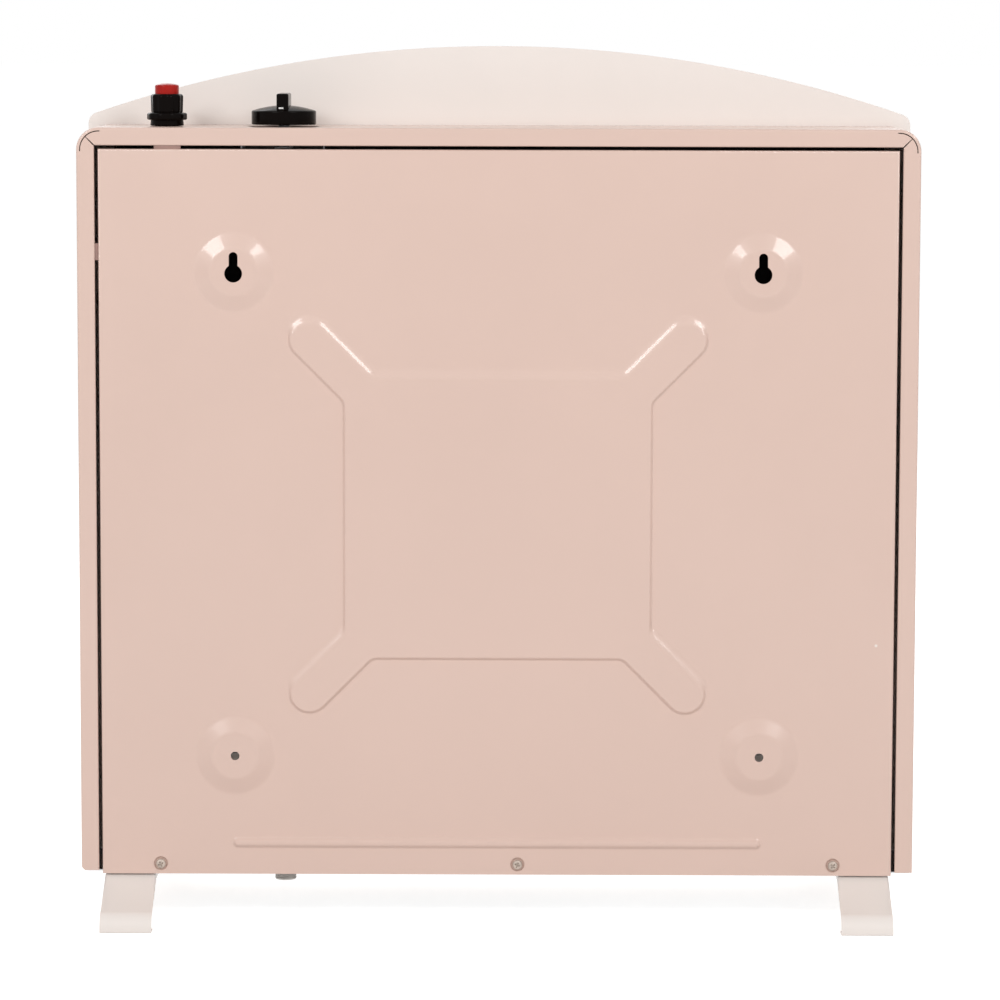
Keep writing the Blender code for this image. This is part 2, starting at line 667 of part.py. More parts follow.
def make_casing():
    """Side, top and side in one sheet, with mitred flanges and slits at the rounded corners."""
    half = CASE_HALF
    inner = half - SHEET

    def arch_block(name, half_width, low, high, radius, rear, front):
        loop = [(-half_width, low), (half_width, low)]
        loop += arc((half_width - radius, high - radius), radius, 0, 90, 6)
        loop += arc((radius - half_width, high - radius), radius, 90, 180, 6)
        return sheet_xz(name, [loop], rear, front)

    casing = arch_block("casing_shell", half, SIDE_BOTTOM, DECK_TOP, CORNER_RADIUS,
                        CASE_REAR, CASE_FRONT + GAP)
    room = arch_block("case_room", inner, SIDE_BOTTOM - OVERRUN, DECK_UNDERSIDE, CORNER_RADIUS - SHEET,
                      PANEL_INNER, CASE_FRONT - OVERRUN)
    opening = box("case_opening", (FLANGE - half, CASE_FRONT, SIDE_BOTTOM - OVERRUN),
                  (half - FLANGE, CASE_REAR + OVERRUN, DECK_TOP - FLANGE))
    cut(casing, room, opening)
    slit_outer = CORNER_RADIUS - SLIT_INSET
    slit_inner = slit_outer - SLIT_WIDTH
    for side, name in ((1, "right"), (-1, "left")):
        centre = (side * (half - CORNER_RADIUS), DECK_TOP - CORNER_RADIUS)
        start = 0 if side > 0 else 90
        loop = arc(centre, slit_outer, start - 4, start + 94, 8)
        loop += arc(centre, slit_inner, start + 94, start - 4, 8)
        slit = sheet_xz("slit_" + name, [loop], CASE_REAR + OVERRUN, PANEL_INNER - SHEET / 2)
        from_x = side * (half - CORNER_RADIUS + slit_outer * math.cos(math.radians(45)))
        from_z = DECK_TOP - CORNER_RADIUS + slit_outer * math.sin(math.radians(45)) - SLIT_WIDTH / 2
        to_x = side * (half - FLANGE - MITRE_WIDTH)
        to_z = DECK_TOP - FLANGE - MITRE_WIDTH
        mitre_loop = [(from_x, from_z - MITRE_WIDTH / 2), (from_x, from_z + MITRE_WIDTH / 2),
                      (to_x, to_z + MITRE_WIDTH / 2), (to_x, to_z - MITRE_WIDTH / 2)]
        mitre = sheet_xz("mitre_" + name, [mitre_loop], CASE_REAR + OVERRUN, PANEL_INNER - SHEET / 2)
        cut(casing, slit, mitre)
    chamfer = box("flange_chamfer", (-FLANGE_CHAMFER, -OVERRUN, -FLANGE_CHAMFER),
                  (FLANGE_CHAMFER, OVERRUN, FLANGE_CHAMFER))
    chamfer.rotation_euler = (0, math.radians(45), 0)
    chamfer.location = (half + FLANGE_CHAMFER * 0.4, CASE_REAR, SIDE_BOTTOM - FLANGE_CHAMFER * 0.4)
    knob_hole = cylinder("knob_hole", KNOB_HOLE_RADIUS, (KNOB_X, CONTROL_Y, DECK_TOP - OVERRUN), 2 * OVERRUN,
                         sides=HIGH_SIDES)
    igniter_hole = cylinder("igniter_hole", IGNITER_HOLE_RADIUS, (IGNITER_X, CONTROL_Y, DECK_TOP - OVERRUN),
                            2 * OVERRUN)
    cut(casing, chamfer, knob_hole, igniter_hole)
    return paint(casing, CASE_PAINT)


def plateau_loop():
    """Outline of the X-shaped plateau: a square with four round-ended arms."""
    middle = PLATEAU_MIDDLE_HEIGHT
    half_chord = PLATEAU_ARM_RADIUS * math.sqrt(2)
    lean = PLATEAU_ARM_X - PLATEAU_ARM_Z
    side_stop = PLATEAU_HALF_WIDTH - lean - half_chord
    top_stop = PLATEAU_HALF_HEIGHT + lean - half_chord
    quarter = [(PLATEAU_HALF_WIDTH, side_stop)]
    quarter += arc((PLATEAU_ARM_X, PLATEAU_ARM_Z), PLATEAU_ARM_RADIUS, -45, 135, 8)
    quarter += [(top_stop, PLATEAU_HALF_HEIGHT)]
    loop = list(quarter)
    loop += [(-x, z) for x, z in reversed(quarter)]
    loop += [(-x, -z) for x, z in quarter]
    loop += [(x, -z) for x, z in reversed(quarter)]
    return [(x, middle + z) for x, z in loop]


def keyhole_loop(x, boss_height):
    """Round hole with a narrower slot above it."""
    low = boss_height - KEYHOLE_DROP
    reach = math.degrees(math.asin(KEYHOLE_SLOT_RADIUS / KEYHOLE_RADIUS))
    slot_top = low - KEYHOLE_RADIUS + KEYHOLE_HEIGHT - KEYHOLE_SLOT_RADIUS
    loop = arc((x, low), KEYHOLE_RADIUS, 90 + reach, 450 - reach, 12)
    return loop + arc((x, slot_top), KEYHOLE_SLOT_RADIUS, 0, 180, 6)


def make_back_panel():
    """Stamped pan with wall bosses, an X-shaped plateau, a bead and two tabs."""
    half = PANEL_HALF_WIDTH
    panel = box("back_panel", (-half, CASE_REAR - PANEL_RETURN, PANEL_BOTTOM), (half, CASE_REAR, PANEL_TOP))
    room = box("panel_room", (SHEET - half, CASE_REAR - PANEL_RETURN - OVERRUN, PANEL_BOTTOM - OVERRUN),
               (half - SHEET, PANEL_INNER, PANEL_TOP - SHEET))
    cut(panel, room)
    tab_rear = PANEL_INNER - GAP
    top_tab = box("top_tab", (TOP_TAB_X - TOP_TAB_WIDTH / 2, tab_rear - SHEET, PANEL_TOP - SHEET / 2),
                  (TOP_TAB_X + TOP_TAB_WIDTH / 2, tab_rear, PANEL_TOP + TAB_LENGTH))
    side_tab = box("side_tab", (half - SHEET / 2, tab_rear - SHEET, SIDE_TAB_HEIGHT - SIDE_TAB_WIDTH / 2),
                   (half + TAB_LENGTH, tab_rear, SIDE_TAB_HEIGHT + SIDE_TAB_WIDTH / 2))
    join(panel, top_tab, side_tab)

    stamps = [("plateau", plateau_loop(), PLATEAU_RISE, PLATEAU_SLOPE)]
    stamps.append(("bead", stadium(BEAD_HALF_LENGTH, BEAD_HEIGHT, BEAD_HALF_WIDTH), BEAD_RISE, BEAD_SLOPE))
    for x in (-BOSS_SPACING / 2, BOSS_SPACING / 2):
        for row, height in (("upper", BOSS_UPPER_HEIGHT), ("lower", BOSS_LOWER_HEIGHT)):
            ring = arc((x, height), BOSS_BASE_RADIUS, 0, 360, MID_SIDES)[:-1]
            stamps.append((f"boss_{row}_{x:+.2f}", ring, BOSS_RISE, BOSS_BASE_RADIUS - BOSS_TOP_RADIUS))
    for name, loop, rise, slope in stamps:
        join(panel, raised_patch(name + "_form", loop, rise, slope, SHEET / 2, CASE_REAR))
        cut(panel, raised_patch(name + "_hollow", loop, rise, slope, 2 * SHEET, PANEL_INNER))

    for x in (-BOSS_SPACING / 2, BOSS_SPACING / 2):
        keyhole = sheet_xz(f"keyhole_{x:+.2f}", [keyhole_loop(x, BOSS_UPPER_HEIGHT)],
                           CASE_REAR + OVERRUN, CASE_REAR - OVERRUN)
        wall_hole = cylinder(f"wall_hole_{x:+.2f}", WALL_HOLE_RADIUS,
                             (x, CASE_REAR - OVERRUN, BOSS_LOWER_HEIGHT), 2 * OVERRUN, "Y", LOW_SIDES)
        cut(panel, keyhole, wall_hole)
    for index, x in enumerate(PANEL_SCREW_X):
        cut(panel, cylinder(f"panel_screw_hole_{index}", SCREW_HOLE_RADIUS,
                            (x, PANEL_INNER - OVERRUN, PANEL_BOTTOM + PANEL_SCREW_RISE), 2 * OVERRUN,
                            "Y", LOW_SIDES))
    return paint(panel, CASE_PAINT)


def make_panel_screws():
    for index, x in enumerate(PANEL_SCREW_X):
        screw(f"panel_screw_{index + 1}", (x, CASE_REAR + GAP, PANEL_BOTTOM + PANEL_SCREW_RISE), TURN["Y"])


def foot_middle(side):
    return side * (FOOT_OUTER_X - FOOT_WIDTH / 2)


def make_floor():
    """Floor of the case with air slots, and returns up the back and the sides."""
    half = CASE_HALF - SHEET - GAP
    back_half = PANEL_HALF_WIDTH - SHEET - GAP
    rear = PANEL_INNER - GAP
    front = CASE_FRONT + GAP
    side_rear = CASE_REAR - PANEL_RETURN - GAP
    high = FLOOR_BOTTOM + FLOOR_RETURN
    floor = box("base_plate", (-half, front, FLOOR_BOTTOM), (half, rear, high))
    cut(floor, box("floor_room", (SHEET - half, front - OVERRUN, FLOOR_TOP),
                   (half - SHEET, rear - SHEET, high + OVERRUN)))
    for side, name in ((1, "right"), (-1, "left")):
        edges = sorted((side * back_half, side * (half + OVERRUN)))
        cut(floor, box("floor_corner_" + name, (edges[0], side_rear, FLOOR_BOTTOM - OVERRUN),
                       (edges[1], rear + OVERRUN, high + OVERRUN)))
    for row in FLOOR_SLOT_ROWS:
        for index in range(FLOOR_SLOTS):
            x = (index - (FLOOR_SLOTS - 1) / 2) * FLOOR_SLOT_PITCH
            cut(floor, box(f"floor_slot_{row:.3f}_{index}",
                           (x - FLOOR_SLOT_LENGTH / 2, row - FLOOR_SLOT_WIDTH / 2, FLOOR_BOTTOM - OVERRUN),
                           (x + FLOOR_SLOT_LENGTH / 2, row + FLOOR_SLOT_WIDTH / 2, FLOOR_TOP + OVERRUN)))
    cut(floor, cylinder("inlet_hole", INLET_RADIUS + GAP, (KNOB_X, CONTROL_Y, FLOOR_BOTTOM - OVERRUN),
                        2 * OVERRUN))
    for index, x in enumerate(PANEL_SCREW_X):
        cut(floor, cylinder(f"return_screw_hole_{index}", SCREW_HOLE_RADIUS,
                            (x, rear - OVERRUN, PANEL_BOTTOM + PANEL_SCREW_RISE), 2 * OVERRUN, "Y", LOW_SIDES))
    for side in (1, -1):
        cut(floor, cylinder(f"floor_foot_hole_{side}", SCREW_HOLE_RADIUS,
                            (foot_middle(side), FOOT_SCREW_Y, FLOOR_BOTTOM - OVERRUN), 2 * OVERRUN,
                            sides=LOW_SIDES))
    return paint(floor, ZINC)


def make_front_panel():
    """Upright panel with an arched top and one opening for the burners and the air."""
    half = CASE_HALF
    arch_centre = ARCH_TOP - ARCH_RADIUS
    corner_x = half - ARCH_CORNER_RADIUS
    corner_reach = ARCH_RADIUS - ARCH_CORNER_RADIUS
    corner_z = arch_centre + math.sqrt(corner_reach ** 2 - corner_x ** 2)
    meet = math.degrees(math.atan2(corner_z - arch_centre, corner_x))
    loop = [(-half, FLOOR_BOTTOM), (half, FLOOR_BOTTOM)]
    loop += arc((corner_x, corner_z), ARCH_CORNER_RADIUS, 0, meet, 5)
    loop += arc((0, arch_centre), ARCH_RADIUS, meet, 180 - meet, 24)[1:-1]
    loop += arc((-corner_x, corner_z), ARCH_CORNER_RADIUS, 180 - meet, 180, 5)
    window = rectangle(-PANEL_WINDOW_HALF_WIDTH, PANEL_WINDOW_LOW, PANEL_WINDOW_HALF_WIDTH, PANEL_WINDOW_HIGH)
    panel = sheet_xz("front_panel", [loop, window], CASE_FRONT, FRONT_PANEL_FACE)
    return paint(panel, FRONT_PAINT)


def soft_block(name, low, high, radius):
    """Box whose front face has round edges and corners."""
    block = box(name, low, high)
    shape = bmesh.new()
    shape.from_mesh(block.data)
    rear = max(vertex.co.y for vertex in shape.verts)
    edges = [edge for edge in shape.edges if min(vertex.co.y for vertex in edge.verts) < rear - MERGE]
    bmesh.ops.bevel(shape, geom=edges, offset=radius, segments=4, profile=0.5, affect="EDGES")
    shape.to_mesh(block.data)
    shape.free()
    return smooth(block)


def make_surround():
    """Boxed front with the burner window, two air openings and slots in its top."""
    half = CASE_HALF - SURROUND_INSET
    surround = soft_block("front_surround", (-half, SURROUND_FACE, FLOOR_BOTTOM),
                          (half, SURROUND_REAR, SURROUND_TOP), SURROUND_CORNER)
    # The room is the same soft block, smaller by the sheet and open at the rear.
    room = soft_block("surround_room", (SHEET - half, SURROUND_INNER, FLOOR_TOP),
                      (half - SHEET, SURROUND_REAR + OVERRUN, SURROUND_TOP - SHEET), SURROUND_CORNER - SHEET)
    cut(surround, room)
    half_window = WINDOW_HALF_WIDTH
    for name, low, high in (("window", WINDOW_LOW, WINDOW_HIGH), ("outlet", OUTLET_LOW, OUTLET_HIGH),
                            ("intake", INTAKE_LOW, INTAKE_HIGH)):
        loop = round_rectangle(-half_window, low, half_window, high, WINDOW_CORNER)
        cut(surround, sheet_xz(name + "_opening", [loop], SURROUND_INNER + OVERRUN, SURROUND_FACE - OVERRUN))
    for row in TOP_SLOT_ROWS:
        for index in range(TOP_SLOTS):
            x = (index - (TOP_SLOTS - 1) / 2) * TOP_SLOT_PITCH
            y = SURROUND_REAR - row
            cut(surround, box(f"top_slot_{row:.3f}_{index}",
                              (x - TOP_SLOT_LENGTH / 2, y - TOP_SLOT_WIDTH / 2, SURROUND_TOP - OVERRUN),
                              (x + TOP_SLOT_LENGTH / 2, y + TOP_SLOT_WIDTH / 2, SURROUND_TOP + OVERRUN)))
    for index, (x, z) in enumerate(guard_hooks()):
        cut(surround, cylinder(f"hook_hole_{index}", GUARD_HOOK_RADIUS + GAP,
                               (x, SURROUND_FACE - OVERRUN, z), 2 * OVERRUN, "Y", LOW_SIDES))
    for side in (1, -1):
        cut(surround, cylinder(f"surround_foot_hole_{side}", SCREW_HOLE_RADIUS,
                               (foot_middle(side), -FOOT_SCREW_Y, FLOOR_BOTTOM - OVERRUN), 2 * OVERRUN,
                               sides=LOW_SIDES))
    return paint(surround, FRONT_PAINT)


def make_louvre(name, low, high):
    """Rim behind an air opening, with tilted blades and two upright posts."""
    half = WINDOW_HALF_WIDTH + LOUVRE_RIM
    front = SURROUND_INNER + GAP
    rear = front + THIN_SHEET
    rim = sheet_xz(name, [rectangle(-half, low - LOUVRE_RIM, half, high + LOUVRE_RIM),
                          rectangle(-WINDOW_HALF_WIDTH, low, WINDOW_HALF_WIDTH, high)], rear, front)
    count = round((high - low) / LOUVRE_PITCH)
    pitch = (high - low) / count
    blade_half = WINDOW_HALF_WIDTH + LOUVRE_RIM / 2
    lift = LOUVRE_BLADE_DEPTH / 2
    blade_y = front + lift * math.cos(LOUVRE_BLADE_TILT) + THIN_SHEET
    for index in range(count - 1):
        blade = box(f"{name}_blade_{index}", (-blade_half, -lift, -THIN_SHEET / 2),
                    (blade_half, lift, THIN_SHEET / 2))
        blade.rotation_euler = (LOUVRE_BLADE_TILT, 0, 0)
        blade.location = (0, blade_y, low + (index + 1) * pitch)
        join(rim, blade)
    for index, x in enumerate((-WINDOW_HALF_WIDTH / 3, WINDOW_HALF_WIDTH / 3)):
        join(rim, box(f"{name}_post_{index}", (x - LOUVRE_POST_WIDTH / 2, front, low - LOUVRE_RIM / 2),
                      (x + LOUVRE_POST_WIDTH / 2, rear, high + LOUVRE_RIM / 2)))
    return paint(rim, FRONT_PAINT)


def guard_rails():
    """Heights of the lower and upper rail, and the half width of the guard."""
    return WINDOW_LOW - GUARD_OVERLAP, WINDOW_HIGH + GUARD_OVERLAP, WINDOW_HALF_WIDTH + GUARD_OVERLAP


def guard_hooks():
    low, high, _ = guard_rails()
    return [(x, z) for z in (low, high) for x in (-GUARD_HOOK_X, GUARD_HOOK_X)]


def make_guard():
    """Wire guard: a closed frame, bowed upright wires, two cross wires and four hooks."""
    low, high, half = guard_rails()
    rail_y = SURROUND_FACE - GAP - GUARD_FRAME_RADIUS
    bow_y = rail_y - GUARD_BULGE
    loop = round_rectangle(-half, low, half, high, GUARD_CORNER, 3)
    guard = wire("wire_guard", [(x, rail_y, z) for x, z in loop], GUARD_FRAME_RADIUS, closed=True)
    for index in range(GUARD_WIRES):
        x = (2 * index / (GUARD_WIRES - 1) - 1) * (half - GUARD_CORNER - GUARD_WIRE_RADIUS)
        corners = [(x, rail_y, low), (x, bow_y, low + GUARD_SHOULDER), (x, bow_y, high - GUARD_SHOULDER),
                   (x, rail_y, high)]
        path = bend_path(corners, GUARD_SHOULDER / 2, 1)
        join(guard, wire(f"guard_wire_{index}", path, GUARD_WIRE_RADIUS, 0))
    reach = half - GUARD_CORNER
    for index, z in enumerate(GUARD_CROSS_HEIGHTS):
        path = [(-reach, bow_y + GUARD_WIRE_RADIUS, z), (reach, bow_y + GUARD_WIRE_RADIUS, z)]
        join(guard, wire(f"guard_cross_{index}", path, GUARD_WIRE_RADIUS, 0))
    for index, (x, z) in enumerate(guard_hooks()):
        hook = cylinder(f"guard_hook_{index}", GUARD_HOOK_RADIUS, (x, rail_y, z), GUARD_HOOK_LENGTH, "Y",
                        LOW_SIDES)
        join(guard, hook)
    return paint(guard, CHROME)


def make_reflector():
    """Bright flared pan from the burner plate to the window, with an opening for the pilot lines."""
    rear_y = PLATE_FRONT - GAP
    front_y = SURROUND_INNER + GAP + THIN_SHEET
    middle = (REFLECTOR_REAR_LOW + REFLECTOR_REAR_HIGH) / 2
    shape = bmesh.new()
    bmesh.ops.create_cube(shape, size=1.0)
    ends = [face for face in shape.faces if abs(face.normal.y) > 0.5]
    bmesh.ops.delete(shape, geom=ends, context="FACES_ONLY")
    for vertex in shape.verts:
        at_rear = vertex.co.y > 0
        half = REFLECTOR_REAR_HALF_WIDTH if at_rear else WINDOW_HALF_WIDTH + REFLECTOR_LAP
        low = REFLECTOR_REAR_LOW if at_rear else WINDOW_LOW - REFLECTOR_LAP
        high = REFLECTOR_REAR_HIGH if at_rear else WINDOW_HIGH + REFLECTOR_LAP
        vertex.co = (math.copysign(half, vertex.co.x), rear_y if at_rear else front_y,
                     (high if vertex.co.z > 0 else low) - middle)
    reflector = mesh_object("reflector", shape, (0, 0, middle))
    skin = reflector.modifiers.new("sheet", "SOLIDIFY")
    skin.thickness = THIN_SHEET
    skin.offset = -1.0
    skin.use_even_offset = True
    half = PILOT_WIDTH / 2
    cut(reflector, box("pilot_opening", (PILOT_X - half, PILOT_Y - PILOT_OPENING_DEPTH / 2, LINE_LOW),
                       (PILOT_X + half, PILOT_Y + PILOT_OPENING_DEPTH / 2, PILOT_SHELF)))
    return paint(reflector, BRIGHT_STEEL)


def make_burner_plate():
    """Plate across the front panel's opening, with one opening for each tile."""
    half = BURNER_PLATE_HALF_WIDTH
    loops = [rectangle(-half, BURNER_PLATE_LOW, half, BURNER_PLATE_HIGH)]
    half_width = TILE_WIDTH / 2 + GAP
    for x in BURNER_XS:
        loops.append(rectangle(x - half_width, TILE_LOW - GAP, x + half_width, TILE_HIGH + GAP))
    return paint(sheet_xz("burner_plate", loops, PLATE_REAR, PLATE_FRONT), BRIGHT_STEEL)


def make_burners():
    """Each burner is a pan for its tile, with a mixing tube that hangs from it."""
    wall_width = TILE_WIDTH / 2 + GAP
    tile_face = PLATE_FRONT - TILE_PROUD
    for number, x in enumerate(BURNER_XS, start=1):
        tile = box(f"tile_{number}", (x - TILE_WIDTH / 2, tile_face, TILE_LOW),
                   (x + TILE_WIDTH / 2, tile_face + TILE_THICKNESS, TILE_HIGH))
        paint(tile, CERAMIC)
        burner = box(f"burner_{number}", (x - wall_width - SHEET, BOX_FRONT, BOX_BOTTOM),
                     (x + wall_width + SHEET, BOX_REAR, TILE_HIGH + GAP + SHEET))
        neck = MIXER_LOW + MIXER_MOUTH_LENGTH
        mixer_top = BOX_BOTTOM + SHEET / 2
        mixer = turned(f"mixer_{number}", [(0, mixer_top), (MIXER_RADIUS, mixer_top), (MIXER_RADIUS, neck),
                                           (MIXER_MOUTH_RADIUS, MIXER_LOW), (0, MIXER_LOW)],
                       (x, MIXER_Y, 0), 16)
        room = box(f"burner_room_{number}", (x - wall_width, BOX_FRONT - OVERRUN, TILE_LOW - GAP),
                   (x + wall_width, BOX_REAR - SHEET, TILE_HIGH + GAP))
        bore_top = BOX_BOTTOM + OVERRUN
        bore_radius = MIXER_RADIUS - SHEET
        mouth_radius = MIXER_MOUTH_RADIUS - SHEET
        bore = turned(f"mixer_bore_{number}", [(0, bore_top), (bore_radius, bore_top), (bore_radius, neck),
                                               (mouth_radius, MIXER_LOW), (mouth_radius, MIXER_LOW - OVERRUN),
                                               (0, MIXER_LOW - OVERRUN)],
                      (x, MIXER_Y, 0), 16)
        join(burner, mixer)
        cut(burner, room, bore)
        paint(burner, CAST_IRON)


def make_manifold():
    """Closed pipe below the mixing tubes, an injector for each burner, and two brackets."""
    start = (-MANIFOLD_HALF_LENGTH, MIXER_Y, MANIFOLD_HEIGHT)
    manifold = cylinder("gas_manifold", MANIFOLD_RADIUS, start, 2 * MANIFOLD_HALF_LENGTH, "X", 16)
    paint(manifold, DARK_STEEL)
    seat = MANIFOLD_HEIGHT + MANIFOLD_RADIUS
    for number, x in enumerate(BURNER_XS, start=1):
        injector = cylinder(f"injector_{number}", INJECTOR_RADIUS, (x, MIXER_Y, seat + GAP), INJECTOR_LENGTH,
                            sides=LOW_SIDES, end_radius=INJECTOR_RADIUS * 0.7)
        nut = cylinder(f"injector_hex_{number}", INJECTOR_HEX_RADIUS,
                       (x, MIXER_Y, seat + INJECTOR_HEX_HEIGHT / 2), INJECTOR_HEX_HEIGHT, sides=6)
        join(injector, nut)
        paint(injector, BRASS)
    shelf = MANIFOLD_HEIGHT - MANIFOLD_RADIUS - GAP
    foot = CASE_FRONT + GAP
    low = PANEL_WINDOW_LOW - BRACKET_LAP
    loop = [(foot, low), (foot + SHEET, low), (foot + SHEET, shelf - SHEET),
            (MIXER_Y + MANIFOLD_RADIUS, shelf - SHEET), (MIXER_Y + MANIFOLD_RADIUS, shelf), (foot, shelf)]
    for side, name in ((1, "right"), (-1, "left")):
        bracket = outline("manifold_bracket_" + name, [loop], BRACKET_WIDTH, "YZ", (side * BRACKET_X, 0, 0))
        paint(bracket, ZINC)


def make_valve():
    """Valve under the deck with its hanger, nut, plunger, stem and spring."""
    x, y = KNOB_X, CONTROL_Y
    bottom = VALVE_TOP - VALVE_HEIGHT
    body = box("gas_valve", (x - VALVE_WIDTH / 2, y - VALVE_DEPTH / 2, bottom),
               (x + VALVE_WIDTH / 2, y + VALVE_DEPTH / 2, VALVE_TOP))
    neck = cylinder("valve_neck", VALVE_NECK_RADIUS, (x, y, VALVE_TOP - SHEET), VALVE_NECK_HEIGHT + SHEET)
    stem_bottom = VALVE_TOP - STEM_DEPTH
    plunger_bottom = stem_bottom - GAP - PLUNGER_LENGTH
    bore = cylinder("valve_bore", STEM_RADIUS + GAP, (x, y, plunger_bottom - KNOB_TRAVEL - GAP),
                    NECK_TOP - plunger_bottom + KNOB_TRAVEL + OVERRUN)
    join(body, neck)
    cut(body, bore)
    paint(body, CAST_ALLOY)

    plunger = cylinder("valve_plunger", STEM_RADIUS, (x, y, plunger_bottom), PLUNGER_LENGTH, sides=16)
    paint(plunger, BRASS)

    hole_radius = VALVE_NECK_RADIUS + GAP
    low = VALVE_TOP + HANGER_RISE
    high = DECK_UNDERSIDE - GAP
    edge = HANGER_HALF_WIDTH
    loop = [(x - edge, low), (x + edge, low), (x + edge, high - SHEET), (x + edge + HANGER_FOOT, high - SHEET),
            (x + edge + HANGER_FOOT, high), (x + edge - SHEET, high), (x + edge - SHEET, low + SHEET),
            (x - edge + SHEET, low + SHEET), (x - edge + SHEET, high), (x - edge - HANGER_FOOT, high),
            (x - edge - HANGER_FOOT, high - SHEET), (x - edge, high - SHEET)]
    hanger = sheet_xz("valve_bracket", [loop], y + HANGER_DEPTH / 2, y - HANGER_DEPTH / 2)
    cut(hanger, cylinder("hanger_hole", hole_radius, (x, y, low - OVERRUN / 2), OVERRUN))
    paint(hanger, ZINC)

    nut = cylinder("valve_nut", NUT_RADIUS, (x, y, HANGER_TOP + GAP), NUT_HEIGHT, sides=6)
    cut(nut, cylinder("nut_bore", hole_radius, (x, y, HANGER_TOP - OVERRUN), 3 * OVERRUN))
    paint(nut, BRASS)

    collar_top = DECK_TOP - STEM_COLLAR_DROP
    collar_bottom = collar_top - STEM_COLLAR_HEIGHT
    stem_top = KNOB_BASE + KNOB_RIM
    stem = turned("valve_stem", [(0, stem_top), (STEM_RADIUS, stem_top), (STEM_RADIUS, collar_top),
                                 (STEM_COLLAR_RADIUS, collar_top), (STEM_COLLAR_RADIUS, collar_bottom),
                                 (STEM_RADIUS, collar_bottom), (STEM_RADIUS, stem_bottom), (0, stem_bottom)],
                  (x, y, 0), 16)
    paint(stem, DARK_STEEL)

    coil_radius = STEM_COLLAR_RADIUS - SPRING_WIRE_RADIUS
    spring = wire("valve_spring", helix((x, y), NECK_TOP + GAP + SPRING_WIRE_RADIUS,
                                        collar_bottom - GAP - SPRING_WIRE_RADIUS, coil_radius,
                                        VALVE_SPRING_CURLS), SPRING_WIRE_RADIUS)
    paint(spring, ZINC)


def make_knob():
    """Round knob with a domed top and an upright grip blade that runs front to back."""
    rim_top = KNOB_RIM
    crown = [(0, rim_top + KNOB_DOME)]
    steps = 4
    for index in range(1, steps):
        share = index / steps
        crown.append(((KNOB_RADIUS - KNOB_EDGE) * share, rim_top + KNOB_DOME * (1 - share ** 2)))
    profile = crown + [(KNOB_RADIUS - KNOB_EDGE, rim_top), (KNOB_RADIUS, rim_top - KNOB_EDGE),
                       (KNOB_RADIUS, 0), (0, 0)]
    knob = turned("gas_knob", profile, (KNOB_X, CONTROL_Y, KNOB_BASE), HIGH_SIDES)
    blade_top = KNOB_TOP - KNOB_CLEARANCE
    blade = box("knob_blade", (-BLADE_WIDTH / 2, -BLADE_LENGTH / 2, rim_top / 2),
                (BLADE_WIDTH / 2, BLADE_LENGTH / 2, blade_top))
    soften = blade.modifiers.new("soft_edges", "BEVEL")
    soften.width = BLADE_EDGE
    soften.segments = 2
    bore = cylinder("knob_bore", STEM_RADIUS + GAP, (0, 0, -OVERRUN), OVERRUN + KNOB_RIM + GAP, sides=16)
    for tool in (blade, bore):
        tool.location = Vector(tool.location) + Vector(knob.location)
    join(knob, blade)
    cut(knob, bore)
    return paint(knob, BLACK_PLASTIC)


